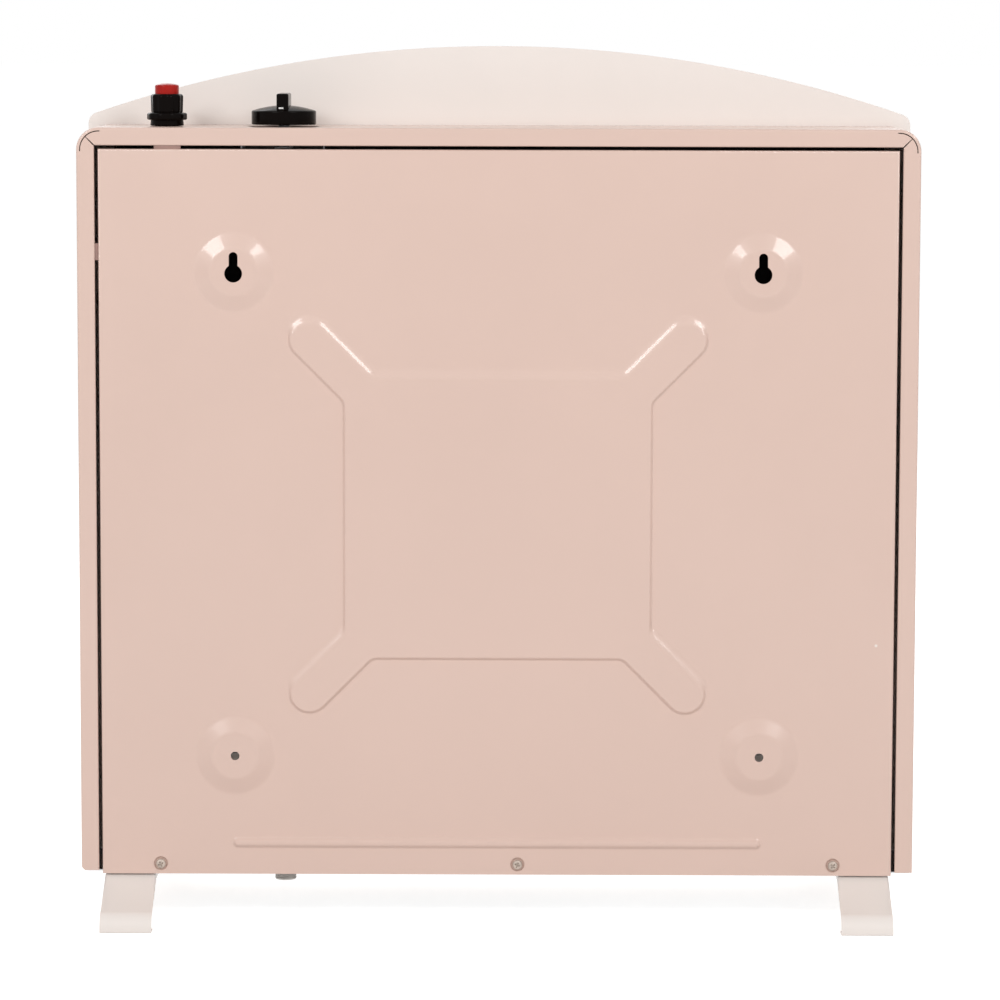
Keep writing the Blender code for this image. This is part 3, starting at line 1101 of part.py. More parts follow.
def make_igniter():
    """Push igniter: body under the deck, collar nut above it, red button and its spring."""
    x, y = IGNITER_X, CONTROL_Y
    body_top = DECK_UNDERSIDE - GAP
    body_bottom = body_top - IGNITER_BODY_LENGTH
    neck_top = IGNITER_NECK_TOP
    bore_floor = neck_top - IGNITER_BORE_DEPTH
    rod_bottom = COLLAR_TOP - BUTTON_SEAT - IGNITER_ROD_LENGTH
    rod_hole = rod_bottom - BUTTON_TRAVEL - 2 * GAP
    rod_hole_radius = IGNITER_ROD_RADIUS + GAP
    tail = body_bottom - IGNITER_TAIL
    profile = [(0, rod_hole), (rod_hole_radius, rod_hole), (rod_hole_radius, bore_floor),
               (IGNITER_BORE_RADIUS, bore_floor), (IGNITER_BORE_RADIUS, neck_top),
               (IGNITER_NECK_RADIUS, neck_top), (IGNITER_NECK_RADIUS, body_top),
               (IGNITER_BODY_RADIUS, body_top), (IGNITER_BODY_RADIUS, body_bottom),
               (IGNITER_TAIL_RADIUS, tail), (0, tail)]
    body = turned("igniter_body", profile, (x, y, 0))
    paint(body, BLACK_PLASTIC)

    foot = DECK_TOP + GAP
    ring = foot + COLLAR_FOOT_HEIGHT
    sleeve = ring + COLLAR_RING_HEIGHT
    neck_bore = IGNITER_NECK_RADIUS + GAP
    button_bore = BUTTON_RADIUS + GAP
    seat = neck_top + GAP
    collar = turned("igniter_collar",
                    [(COLLAR_SLEEVE_RADIUS * 1.03, COLLAR_TOP), (COLLAR_SLEEVE_RADIUS, sleeve),
                     (COLLAR_RING_RADIUS, sleeve), (COLLAR_RING_RADIUS, ring), (COLLAR_FOOT_RADIUS, ring),
                     (COLLAR_FOOT_RADIUS, foot), (neck_bore, foot), (neck_bore, seat), (button_bore, seat),
                     (button_bore, COLLAR_TOP)],
                    (x, y, 0), ring=True)
    paint(collar, BLACK_PLASTIC)

    top = COLLAR_TOP + BUTTON_HEIGHT
    skirt = COLLAR_TOP - BUTTON_SEAT
    button = turned("igniter_button",
                    [(0, top), (BUTTON_RADIUS * 0.6, top - BUTTON_CROWN * 0.3),
                     (BUTTON_RADIUS - BUTTON_CROWN / 2, top - BUTTON_CROWN),
                     (BUTTON_RADIUS, top - 2 * BUTTON_CROWN), (BUTTON_RADIUS, skirt),
                     (IGNITER_ROD_RADIUS, skirt), (IGNITER_ROD_RADIUS, rod_bottom), (0, rod_bottom)],
                    (x, y, 0))
    paint(button, RED_PLASTIC)

    coil_radius = (IGNITER_BORE_RADIUS + IGNITER_ROD_RADIUS) / 2
    spring = wire("igniter_spring", helix((x, y), bore_floor + GAP + SPRING_WIRE_RADIUS,
                                          skirt - GAP - SPRING_WIRE_RADIUS, coil_radius, IGNITER_SPRING_CURLS),
                  SPRING_WIRE_RADIUS)
    paint(spring, ZINC)
    return tail


def make_gas_line():
    """Inlet fitting through the floor, regulator above it and the supply pipe up to the valve."""
    x, y = KNOB_X, CONTROL_Y
    inlet_top = REGULATOR_BOTTOM - GAP
    flange_low = FLOOR_TOP + GAP
    flange_high = flange_low + INLET_FLANGE_HEIGHT
    bore_top = inlet_top - INLET_BORE_CLOSURE
    profile = [(0, inlet_top), (INLET_RADIUS, inlet_top), (INLET_RADIUS, flange_high),
               (INLET_FLANGE_RADIUS, flange_high), (INLET_FLANGE_RADIUS, flange_low),
               (INLET_RADIUS, flange_low), (INLET_RADIUS, INLET_BOTTOM),
               (INLET_BORE_RADIUS, INLET_BOTTOM), (INLET_BORE_RADIUS, bore_top), (0, bore_top)]
    inlet = turned("gas_inlet", profile, (x, y, 0))
    paint(inlet, CAST_ALLOY)

    regulator = cylinder("gas_regulator", REGULATOR_HUB_RADIUS, (x, y, REGULATOR_BOTTOM), REGULATOR_HEIGHT)
    middle = REGULATOR_BOTTOM + REGULATOR_HEIGHT / 2
    drum = cylinder("regulator_drum", REGULATOR_DRUM_RADIUS, (x - REGULATOR_DRUM_LENGTH / 2, y, middle),
                    REGULATOR_DRUM_LENGTH, "X")
    bonnet = cylinder("regulator_bonnet", REGULATOR_BONNET_RADIUS, (x - SHEET, y, middle),
                      REGULATOR_DRUM_LENGTH / 2 + REGULATOR_BONNET_LENGTH, "X", 16)
    join(regulator, drum, bonnet)
    paint(regulator, CAST_ALLOY)

    bottom = REGULATOR_BOTTOM + REGULATOR_HEIGHT + GAP
    valve_bottom = VALVE_TOP - VALVE_HEIGHT
    pipe = cylinder("supply_pipe", SUPPLY_RADIUS, (x, y, bottom), valve_bottom - GAP - bottom, sides=16)
    paint(pipe, DARK_STEEL)


def make_burner_tube():
    """Tube from the valve's side down to the manifold's end."""
    start_x = KNOB_X + VALVE_WIDTH / 2 + GAP
    height = VALVE_TOP - VALVE_HEIGHT + BURNER_TUBE_LIFT
    end_x = MANIFOLD_HALF_LENGTH + GAP
    points = [(start_x, CONTROL_Y, height), (BURNER_TUBE_X, CONTROL_Y, height),
              (BURNER_TUBE_X, CONTROL_Y, MANIFOLD_HEIGHT),
              (BURNER_TUBE_X, MIXER_Y, MANIFOLD_HEIGHT), (end_x, MIXER_Y, MANIFOLD_HEIGHT)]
    tube = wire("burner_tube", bend_path(points, TUBE_BEND, 3), BURNER_TUBE_RADIUS, 2)
    return paint(tube, COPPER)


def make_pilot():
    """Pilot burner, spark electrode and thermocouple on a small shelf below the tiles."""
    back = PLATE_FRONT - GAP
    shelf_low = PILOT_SHELF
    loop = [(back, shelf_low + PILOT_LEG), (back, shelf_low), (back - PILOT_SHELF_DEPTH, shelf_low),
            (back - PILOT_SHELF_DEPTH, shelf_low + SHEET), (back - SHEET, shelf_low + SHEET),
            (back - SHEET, shelf_low + PILOT_LEG)]
    bracket = outline("pilot_bracket", [loop], PILOT_WIDTH, "YZ", (PILOT_X, 0, 0))
    tail = shelf_low - PILOT_TAIL
    pieces = [("spark_electrode", -PILOT_SPACING, ELECTRODE_RADIUS, WHITE_CERAMIC),
              ("pilot_burner", 0, PILOT_BURNER_RADIUS, BRASS),
              ("thermocouple", PILOT_SPACING, THERMOCOUPLE_RADIUS, COPPER)]
    for name, offset, radius, finish in pieces:
        x = PILOT_X + offset
        top = shelf_low + PILOT_RISE
        if name == "spark_electrode":
            profile = [(0, top + PILOT_TAIL), (ELECTRODE_TIP, top + PILOT_TAIL), (ELECTRODE_TIP, top),
                       (radius, top - ELECTRODE_TIP), (radius, tail), (0, tail)]
        elif name == "pilot_burner":
            hood = radius * 1.4
            profile = [(0, top), (hood, top), (hood, top - PILOT_TAIL), (radius, top - PILOT_TAIL),
                       (radius, tail), (0, tail)]
        else:
            profile = [(0, top + PILOT_TAIL / 2), (radius * 0.7, top + PILOT_TAIL / 2 - radius),
                       (radius, top), (radius, tail), (0, tail)]
        paint(turned(name, profile, (x, PILOT_Y, 0), LOW_SIDES), finish)
        cut(bracket, cylinder(name + "_hole", radius + GAP, (x, PILOT_Y, shelf_low - OVERRUN / 2), OVERRUN,
                              sides=LOW_SIDES))
    return paint(bracket, ZINC)


def make_lines(igniter_tail):
    """Pilot tube and thermocouple lead from the valve, and the ignition lead, to the pilot."""
    valve_bottom = VALVE_TOP - VALVE_HEIGHT - GAP
    tail = PILOT_SHELF - PILOT_TAIL - GAP
    rear_y = CONTROL_Y + LINE_Y_OFFSET
    tube_points = [(KNOB_X - LINE_SPREAD, rear_y, valve_bottom), (KNOB_X - LINE_SPREAD, rear_y, LINE_LOW),
                   (PILOT_X, PILOT_Y, LINE_LOW), (PILOT_X, PILOT_Y, tail)]
    paint(wire("pilot_tube", bend_path(tube_points, LINE_BEND), SMALL_LINE_RADIUS), COPPER)
    lead_x = PILOT_X + PILOT_SPACING
    lead_points = [(KNOB_X + LINE_SPREAD, rear_y, valve_bottom), (KNOB_X + LINE_SPREAD, rear_y, LINE_LOW),
                   (lead_x, PILOT_Y, LINE_LOW), (lead_x, PILOT_Y, tail)]
    paint(wire("thermocouple_lead", bend_path(lead_points, LINE_BEND), SMALL_LINE_RADIUS * 0.8), COPPER)
    spark_x = PILOT_X - PILOT_SPACING
    spark_points = [(IGNITER_X, CONTROL_Y, igniter_tail - GAP), (IGNITER_X, CONTROL_Y, LEAD_LOW + 2 * OVERRUN),
                    (IGNITER_X, LEAD_LANE_Y, LEAD_LOW), (spark_x, LEAD_LANE_Y, LEAD_LOW),
                    (spark_x, PILOT_Y, LEAD_LOW), (spark_x, PILOT_Y, tail)]
    paint(wire("ignition_lead", bend_path(spark_points, LINE_BEND), LEAD_RADIUS), RED_RUBBER)


def make_shield():
    """Hat-shaped heat shield behind the burners, held on the front panel."""
    foot = CASE_FRONT + GAP
    half = SHIELD_HALF_WIDTH
    outer = half + SHIELD_FOOT
    rear = SHIELD_Y
    loop = [(-outer, foot), (-half, foot), (-half, rear - THIN_SHEET), (half, rear - THIN_SHEET), (half, foot),
            (outer, foot), (outer, foot + THIN_SHEET), (half + THIN_SHEET, foot + THIN_SHEET),
            (half + THIN_SHEET, rear), (-half - THIN_SHEET, rear), (-half - THIN_SHEET, foot + THIN_SHEET),
            (-outer, foot + THIN_SHEET)]
    middle = (SHIELD_HIGH + SHIELD_LOW) / 2
    shield = outline("heat_shield", [loop], SHIELD_HIGH - SHIELD_LOW, "XY", (0, 0, middle))
    return paint(shield, ZINC)


def foot_top_line():
    """Upper line of a foot's rear half in the YZ plane, from the middle to the floor."""
    toe = FOOT_LENGTH / 2
    crease = toe - TOE_ROLL
    line = [(crease - LEG_RUN, FOOT_TOP), (crease, TOE_HEIGHT)]
    for index in range(1, 5):
        angle = math.radians(90 * index / 4)
        line.append((crease + TOE_ROLL * math.sin(angle), TOE_HEIGHT * math.cos(angle)))
    return line


def make_foot(name, side):
    """Channel-shaped foot: flat under the case, sloping legs and rolled toes front and back."""
    toe = FOOT_LENGTH / 2
    crease = toe - TOE_ROLL
    bend = crease - LEG_RUN
    top = foot_top_line()
    inner = []
    for index in range(4, -1, -1):
        angle = math.radians(90 * index / 4)
        inner.append((crease + (TOE_ROLL - FOOT_SHEET) * math.sin(angle),
                      FOOT_SHEET + (TOE_HEIGHT - 2 * FOOT_SHEET) * math.cos(angle)))
    under = [(toe - TOE_LIP, 0), (toe - TOE_LIP, FOOT_SHEET)] + inner + [(bend, FOOT_TOP - FOOT_FLANGE)]
    half_loop = top + under
    loop = half_loop + [(-y, z) for y, z in reversed(half_loop)]
    middle = foot_middle(side)
    foot = outline(name, [loop], FOOT_WIDTH, "YZ", (middle, 0, 0))
    round_folds(foot)
    slope = math.atan2(FOOT_TOP - TOE_HEIGHT, LEG_RUN)
    web_drop = FOOT_SHEET / math.cos(slope)
    web_shift = FOOT_SHEET * math.tan(slope / 2)
    deep = [(crease, TOE_HEIGHT - web_drop), (bend - web_shift, FOOT_TOP - FOOT_SHEET)]
    room_loop = [(crease, FOOT_SHEET)] + deep + [(-y, z) for y, z in reversed(deep)] + [(-crease, FOOT_SHEET)]
    cut(foot, outline(name + "_room", [room_loop], FOOT_WIDTH - 2 * FOOT_SHEET, "YZ", (middle, 0, 0)))
    for end in (1, -1):
        cut(foot, cylinder(f"{name}_hole_{end}", SCREW_HOLE_RADIUS,
                           (middle, end * FOOT_SCREW_Y, FOOT_TOP - OVERRUN), 2 * OVERRUN, sides=LOW_SIDES))
        screw(f"foot_screw_{name[5:]}_{'rear' if end > 0 else 'front'}",
              (middle, end * FOOT_SCREW_Y, FOOT_TOP - FOOT_SHEET - GAP), (math.pi, 0, 0))
    return paint(foot, FRONT_PAINT)


def round_folds(foot):
    """Round the two long upper edges, where the sheet is folded down."""
    shape = bmesh.new()
    shape.from_mesh(foot.data)
    folds = []
    for edge in shape.edges:
        # In the foot's own frame X is the real Y, Y the real Z, and Z runs across the foot.
        first, last = (vertex.co for vertex in edge.verts)
        along = abs(first.x - last.x) > MERGE
        same_side = abs(first.z - last.z) < MERGE
        on_top = min(first.y, last.y) > TOE_HEIGHT - MERGE
        real = edge.calc_face_angle(0) > math.radians(30)
        if along and same_side and on_top and real:
            folds.append(edge)
    bmesh.ops.bevel(shape, geom=folds, offset=FOOT_FOLD_RADIUS, segments=2, profile=0.5, affect="EDGES")
    shape.to_mesh(foot.data)
    shape.free()


clear_scene()
HEATER = new_collection("gas_heater")
CUTTERS = new_collection("cutters")

make_casing()
make_back_panel()
make_panel_screws()
make_floor()
make_front_panel()
make_surround()
make_louvre("outlet_louvre", OUTLET_LOW, OUTLET_HIGH)
make_louvre("intake_louvre", INTAKE_LOW, INTAKE_HIGH)
make_guard()
make_reflector()
make_burner_plate()
make_burners()
make_manifold()
make_valve()
make_knob()
lead_start = make_igniter()
make_gas_line()
make_burner_tube()
make_pilot()
make_lines(lead_start)
make_shield()
make_foot("foot_right", 1)
make_foot("foot_left", -1)
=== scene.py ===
"""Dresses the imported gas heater: finer sheet metal and controls, finishes, floor, light and camera.

All sizes are metres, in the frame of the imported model: the back of the heater faces +Y.
"""

from math import asin, atan2, copysign, cos, degrees, pi, radians, remainder, sin, sqrt, tan

import bmesh
import bpy
from mathutils import Matrix, Vector
from mathutils.geometry import tessellate_polygon


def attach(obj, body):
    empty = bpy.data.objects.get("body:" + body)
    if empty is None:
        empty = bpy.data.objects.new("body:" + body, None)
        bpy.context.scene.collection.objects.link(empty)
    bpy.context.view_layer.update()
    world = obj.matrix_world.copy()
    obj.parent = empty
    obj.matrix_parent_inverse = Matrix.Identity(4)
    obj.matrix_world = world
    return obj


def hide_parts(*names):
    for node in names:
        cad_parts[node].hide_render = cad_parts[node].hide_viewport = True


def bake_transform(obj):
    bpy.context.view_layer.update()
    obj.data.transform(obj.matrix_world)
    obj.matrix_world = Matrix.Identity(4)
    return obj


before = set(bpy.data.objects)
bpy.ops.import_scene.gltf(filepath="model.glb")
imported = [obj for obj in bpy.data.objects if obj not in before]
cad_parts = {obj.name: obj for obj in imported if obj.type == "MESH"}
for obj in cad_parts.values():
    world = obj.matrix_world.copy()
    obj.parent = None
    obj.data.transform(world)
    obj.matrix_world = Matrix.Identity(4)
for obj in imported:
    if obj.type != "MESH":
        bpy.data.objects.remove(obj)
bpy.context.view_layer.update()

# Sheet metal and meshing
SHEET = 0.0012
MERGE = 0.00001
OVERRUN = 0.010
GAP = 0.0003
BEND_RADIUS = 0.0014
GUARD_RING = 0.0004
ROUND_SIDES = 72
SHARP_ANGLE = radians(38)

# Case
CASE_HALF = 0.3235
CASE_REAR = 0.092
CASE_FRONT = -0.008
DECK_TOP = 0.617
SIDE_BOTTOM = 0.040
CORNER_RADIUS = 0.017
CORNER_STEP = 7.5
FLANGE = 0.0137
SLIT_INSET = 0.0024
SLIT_WIDTH = 0.0008
SLIT_OVERREACH = 4
MITRE_HALF_ANGLE = 1.0
MITRE_INNER_HALF_ANGLE = 5.0
HEM_DEPTH = 0.0009
HEM_CURVE = ((2, 0), (0.6, 0.2), (0, 1))
FLANGE_CHAMFER = 0.0040
CHAMFER_SHIFT = 0.4
CONTROL_Y = 0.044
KNOB_X = 0.1668
IGNITER_X = 0.2574
KNOB_HOLE_RADIUS = 0.0280
IGNITER_HOLE_RADIUS = 0.0100

# Back panel. A panel screw has its x and the turn of its cross
PANEL_HALF = 0.3071
PANEL_BOTTOM = 0.0375
PANEL_TOP = 0.6006
PANEL_RETURN = 0.010
BOSS_X = 0.2032
BOSS_UPPER = 0.5066
BOSS_LOWER = 0.1313
BOSS_BASE_RADIUS = 0.0320
BOSS_TOP_RADIUS = 0.0165
BOSS_RISE = 0.0050
BOSS_BLEND = 0.18
BOSS_STEPS = 16
KEYHOLE_DROP = 0.0010
KEYHOLE_RADIUS = 0.0068
KEYHOLE_SLOT_RADIUS = 0.0034
KEYHOLE_HEIGHT = 0.0233
WALL_HOLE_RADIUS = 0.0034
PLATEAU_MIDDLE = 0.3178
PLATEAU_HALF_WIDTH = 0.1203
PLATEAU_HALF_HEIGHT = 0.1122
PLATEAU_ARM_X = 0.1455
PLATEAU_ARM_Z = 0.1375
PLATEAU_ARM_RADIUS = 0.0170
PLATEAU_FILLET = 0.008
PLATEAU_RISE = 0.0025
PLATEAU_SLOPE = 0.0034
PLATEAU_SOFT_SLOPE = 0.0105
PLATEAU_BLEND = 0.50
PLATEAU_STEPS = 12
SOFT_SLOPE_FROM = 0.15
SOFT_SLOPE_SPAN = 0.45
BEAD_HEIGHT = 0.0622
BEAD_HALF_LENGTH = 0.2064
BEAD_HALF_WIDTH = 0.0050
BEAD_RISE = 0.0025
BEAD_SLOPE = 0.0044
BEAD_BLEND = 0.45
BEAD_STEPS = 8
TAB_REAR = 0.0905
TAB_LENGTH = 0.010
TOP_TAB_X = 0.2538
TOP_TAB_WIDTH = 0.0206
SIDE_TAB_HEIGHT = 0.5217
SIDE_TAB_WIDTH = 0.0130
TAB_EDGE = 0.0004
PANEL_SCREWS = ((0.2616, 25), (-0.0161, 70), (-0.2616, 48))
PANEL_SCREW_HEIGHT = 0.0455
DIMPLE_RADIUS = 0.0056
DIMPLE_DEPTH = 0.0012
DIMPLE_SLOPE = ((0.0052, -0.35), (0.0048, -0.85), (0.0044, -1), (0.0034, -1))
SCREW_HOLE_RADIUS = 0.0020

# Screws
SCREW_HEAD_RADIUS = 0.0038
SCREW_HEAD_HEIGHT = 0.0022
SCREW_SHANK_RADIUS = 0.0016
SCREW_LENGTH = 0.0080
CROSS_WIDTH = 0.0010
CROSS_REACH = 0.0021
CROSS_FLOOR = 0.25
CROSS_TIP = 0.1
CROSS_MIDDLE = 0.75
HEAD_CURVE = ((0, 1, 0), (0.80, 1, 0.002), (1, 0.35, 0.0006), (1, 0, 0))

# Arched front panel
ARCH_TOP = 0.679
ARCH_RADIUS = 0.980
ARCH_CORNER_RADIUS = 0.009
ARCH_EDGE = 0.00025
PANEL_FACE = -0.0092
WINDOW_PANEL_HALF = 0.2720
WINDOW_PANEL_LOW = 0.1050
WINDOW_PANEL_HIGH = 0.5300

# Boxed front
SURROUND_HALF = 0.3175
SURROUND_REAR = -0.0095
SURROUND_FACE = -0.0880
SURROUND_TOP = 0.606
SURROUND_CORNER = 0.012
OPENING_HALF = 0.2605
OPENING_CORNER = 0.006
WINDOW_LOW = 0.2335
WINDOW_HIGH = 0.5055
OUTLET_LOW = 0.523
OUTLET_HIGH = 0.585
INTAKE_LOW = 0.075
INTAKE_HIGH = 0.205
TOP_SLOTS = 9
TOP_SLOT_PITCH = 0.062
TOP_SLOT_HALF = (0.023, 0.0045)
TOP_SLOT_ROWS = (0.024, 0.046)
LOUVRE_RIM = 0.008
LOUVRE_SHEET = 0.0008
LOUVRE_BLADE_DEPTH = 0.018
LOUVRE_TILT = radians(50)
LOUVRE_BOW = 0.0009
LOUVRE_PITCH = 0.0115
LOUVRE_POST_WIDTH = 0.006
LOUVRE_POST_EDGE = 0.0002
LOUVRE_STEPS = 8

# Wire guard
GUARD_OVERLAP = 0.0075
GUARD_FRAME_RADIUS = 0.0020
GUARD_WIRE_RADIUS = 0.0015
GUARD_HOOK_RADIUS = 0.00196
GUARD_HOOK_X = 0.2000
GUARD_HOOK_LENGTH = 0.010
GUARD_BULGE = 0.015
GUARD_WIRES = 13
GUARD_SHOULDER = 0.035
GUARD_CORNER = 0.016

# Feet
FOOT_MIDDLE = 0.2855
FOOT_HALF_WIDTH = 0.020
FOOT_TOP = 0.0372
FOOT_SHEET = 0.0015
FOOT_FLANGE = 0.0045
FOOT_FOLD = 0.0024
FOOT_LEG_TOP = 0.0880
FOOT_CREASE = 0.127
FOOT_TOE = 0.140
TOE_HEIGHT = 0.0155
TOE_LIP = 0.012
TOE_LIP_RADIUS = 0.0012
TOE_SWEEP = 80
TOE_STEPS = 8
FOOT_BEND = 0.004
FOOT_FOLD_LEAST = 0.1
FOOT_FOLD_FADE = 3
FOOT_FLANGE_FADE = 6
FOOT_SCREW_Y = 0.050

# Knob
KNOB_BASE = 0.6184
KNOB_RADIUS = 0.0250
KNOB_RIM = 0.0108
KNOB_DOME = 0.0040
KNOB_BORE_RADIUS = 0.0045
KNOB_CROWN_INSET = 0.0006
KNOB_CROWN_STEPS = 8
KNOB_RIM_DROP = 0.0002
KNOB_RIM_RADIUS = 0.0012
KNOB_SKIRT_RADIUS = 0.0008
KNOB_WALL = 0.0030
KNOB_HOLLOW = 0.0020
BLADE_WIDTH = 0.0092
BLADE_LENGTH = 0.044
BLADE_TOP = 0.0241
BLADE_EDGE = 0.0014
BLADE_SINK = 0.9
MARK_WIDTH = 0.0036
MARK_HEIGHT = 0.0012
MARK_LIFT = 0.0124
MARK_OFFSET = 0.0010
MARK_SINK = 0.0002
MARK_PROUD = 0.0001

# Springs: node, body that presses it, x, coil radius, bottom, top and curls
SPRINGS = (("valve_spring", "valve_push", KNOB_X, 0.0070, 0.5943, 0.6082, 5),
           ("igniter_spring", "button", IGNITER_X, 0.00473, 0.6123, 0.6391, 6))
SPRING_WIRE_RADIUS = 0.0005
SPRING_CLEARANCE = 0.0001
SPRING_STEPS = 28

# Igniter
COLLAR_FOOT = 0.6173
COLLAR_RING = 0.6217
COLLAR_SLEEVE = 0.6271
COLLAR_TOP = 0.6418
COLLAR_SEAT = 0.6303
FOOT_RADIUS = 0.0130
RING_RADIUS = 0.0155
SLEEVE_RADIUS = 0.0123
NECK_BORE = 0.0098
BUTTON_BORE = 0.0096
LOBES = 10
SLEEVE_LOBE_DEPTH = 0.050
RING_LOBE_DEPTH = 0.030
SLEEVE_FLARE = 1.03
LIP_WIDTH = 0.0004
BORE_MARGIN = 0.0005
BUTTON_RADIUS = 0.0093
BUTTON_TOP = 0.6500
BUTTON_SKIRT = 0.6393
BUTTON_CROWN = ((0.35, 0.00015, 0), (0.65, 0.0006, 0), (1, 0.0014, 0.0011))
ROD_RADIUS = 0.0030
ROD_BOTTOM = 0.6053

# Gas inlet
INLET_BOTTOM = 0.0245
INLET_TOP = 0.0577
INLET_RADIUS = 0.0085
INLET_BORE = 0.0050
INLET_FLANGE_LOW = 0.0390
INLET_FLANGE_HIGH = 0.0420
INLET_FLANGE_RADIUS = 0.0120
INLET_BORE_TOP = 0.0527
THREAD_PITCH = 0.0014
THREAD_DEPTH = 0.0006
THREAD_TOP = PANEL_BOTTOM - 0.0020

# Finishes
NOISE_ROUGHNESS = 0.55
TILE_HOLE_PITCH = 0.0021
# Pale dots on the enamel: painted highlights for glints on paint nibs
NIB_GLINT_COLOUR = (0.95, 0.92, 0.89, 1)
# Dark colour inside the tile's holes: painted shade
HOLE_SHADE_COLOUR = (0.10, 0.07, 0.05, 1)

# Camera, as worked out from the photograph
CAMERA_PLACE = (-0.0154, 3.4265, 0.7016)
CAMERA_TARGET = (-0.0018, 0.092, 0.3312)
CAMERA_LENS = 156.5
CAMERA_ROLL = radians(0.158)
SENSOR_WIDTH = 36
VIEW_END = 500

# Light. A soft box has its power, width and height
SOFTBOX_PLACES = ((1.45, 2.20, 1.75), (-1.45, 2.20, 1.75), (1.45, -2.20, 1.75), (-1.45, -2.20, 1.75))
SOFTBOX_TURN = radians(40)
REAR_SOFTBOX = (25, 1.10, 0.60)
FRONT_SOFTBOX = (17, 2.6, 1.8)
AMBIENT = 0.42
FLOOR_SIZE = 120
FLOOR_COLOUR = (0.85, 0.845, 0.84, 1)
FLOOR_GLOW = 0.65


def arc(centre, radius, start, end, steps):
    """Points of an arc, with its angles in degrees."""
    points = []
    for index in range(steps + 1):
        angle = radians(start + (end - start) * index / steps)
        points.append((centre[0] + radius * cos(angle), centre[1] + radius * sin(angle)))
    return points


def rectangle(low_x, low_z, high_x, high_z):
    """Corners of a rectangle, counter-clockwise."""
    return [(low_x, low_z), (high_x, low_z), (high_x, high_z), (low_x, high_z)]


def round_rectangle(low_x, low_z, high_x, high_z, radius):
    """Rectangle with rounded corners."""
    low_x, low_z, high_x, high_z = low_x + radius, low_z + radius, high_x - radius, high_z - radius
    points = []
    for turn, centre in enumerate(((high_x, high_z), (low_x, high_z), (low_x, low_z), (high_x, low_z))):
        points += arc(centre, radius, 90 * turn, 90 * turn + 90, 8)
    return points


def circle(x, z, radius, steps=ROUND_SIDES):
    """Points of a full circle, with none twice."""
    return arc((x, z), radius, 0, 360, steps)[:-1]


def rounded(corners, steps=4):
    """Path whose inner corners, given as across, up and radius, are rounded by arcs."""
    path = []
    for index, (across, up, radius) in enumerate(corners):
        corner = Vector((across, up))
        if radius == 0 or index in (0, len(corners) - 1):
            path.append(tuple(corner))
            continue
        before = (Vector(corners[index - 1][:2]) - corner).normalized()
        after = (Vector(corners[index + 1][:2]) - corner).normalized()
        half = before.angle(after) / 2
        centre = corner + (before + after).normalized() * radius / sin(half)
        first = corner + before * radius / tan(half) - centre
        last = corner + after * radius / tan(half) - centre
        start = atan2(first.y, first.x)
        turn = remainder(atan2(last.y, last.x) - start, 2 * pi)
        for step in range(steps + 1):
            angle = start + turn * step / steps
            path.append((centre.x + radius * cos(angle), centre.y + radius * sin(angle)))
    return path


def link(name, mesh):
    """New object in the scene."""
    obj = bpy.data.objects.new(name, mesh)
    bpy.context.scene.collection.objects.link(obj)
    return obj


def from_shape(name, shape):
    """Object from a bmesh in world coordinates."""
    mesh = bpy.data.meshes.new(name)
    shape.to_mesh(mesh)
    shape.free()
    return link(name, mesh)


def weld(shape):
    """Join the vertices that lie on one another."""
    bmesh.ops.remove_doubles(shape, verts=shape.verts, dist=MERGE)


def round_edges(shape, edges, radius, segments):
    """Round some edges of a bmesh."""
    bmesh.ops.bevel(shape, geom=edges, offset=radius, segments=segments, profile=0.5, affect="EDGES")


def face_outward(shape, weight, axis):
    """Weld a skin and turn its faces so that the weightiest looks up the axis."""
    weld(shape)
    bmesh.ops.recalc_face_normals(shape, faces=shape.faces)
    if max(shape.faces, key=weight).normal[axis] < 0:
        bmesh.ops.reverse_faces(shape, faces=shape.faces)


def bake(obj):
    """Apply the modifiers, or turn a curve into a mesh, with the place worked into the mesh."""
    bpy.context.view_layer.update()
    evaluated = obj.evaluated_get(bpy.context.evaluated_depsgraph_get())
    mesh = bpy.data.meshes.new_from_object(evaluated)
    mesh.transform(obj.matrix_world)
    name = obj.name
    bpy.data.objects.remove(obj, do_unlink=True)
    shape = bmesh.new()
    shape.from_mesh(mesh)
    weld(shape)
    shape.to_mesh(mesh)
    shape.free()
    mesh.name = name
    return link(name, mesh)


def merge(name, objects):
    """Put several baked objects into one mesh."""
    shape = bmesh.new()
    for obj in objects:
        shape.from_mesh(obj.data)
        bpy.data.objects.remove(obj, do_unlink=True)
    return from_shape(name, shape)


def settle(obj, finish, nodes, body="heater"):
    """Shade, finish and hang a new piece on its body, in place of its CAD nodes."""
    obj.data.shade_smooth()
    obj.data.set_sharp_from_angle(angle=SHARP_ANGLE)
    obj.data.materials.clear()
    obj.data.materials.append(FINISHES[finish])
    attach(obj, body)
    if nodes:
        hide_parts(*nodes)


def thicken(obj, thickness):
    """Give a skin its sheet thickness on the inner side."""
    step = obj.modifiers.new("sheet", "SOLIDIFY")
    step.thickness = thickness
    step.offset = -1.0
    step.use_even_offset = True
    return bake(obj)


def cut(obj, cutters):
    """Cut the shapes out of the object and remove them."""
    for cutter in cutters:
        step = obj.modifiers.new("cut", "BOOLEAN")
        step.operation = "DIFFERENCE"
        step.object = cutter
        step.solver = "EXACT"
    cut_obj = bake(obj)
    for cutter in cutters:
        bpy.data.objects.remove(cutter, do_unlink=True)
    return cut_obj


def box_shape(low, high, bevel=0.0, segments=3):
    """Bmesh of a box between two corners, with rounded edges where a bevel is given."""
    low = Vector(low)
    high = Vector(high)
    shape = bmesh.new()
    bmesh.ops.create_cube(shape, size=1.0)
    bmesh.ops.scale(shape, vec=high - low, verts=shape.verts)
    if bevel:
        round_edges(shape, shape.edges, bevel, segments)
    bmesh.ops.translate(shape, vec=(low + high) / 2, verts=shape.verts)
    return shape


def box(name, *values):
    """Box as an object."""
    return from_shape(name, box_shape(*values))


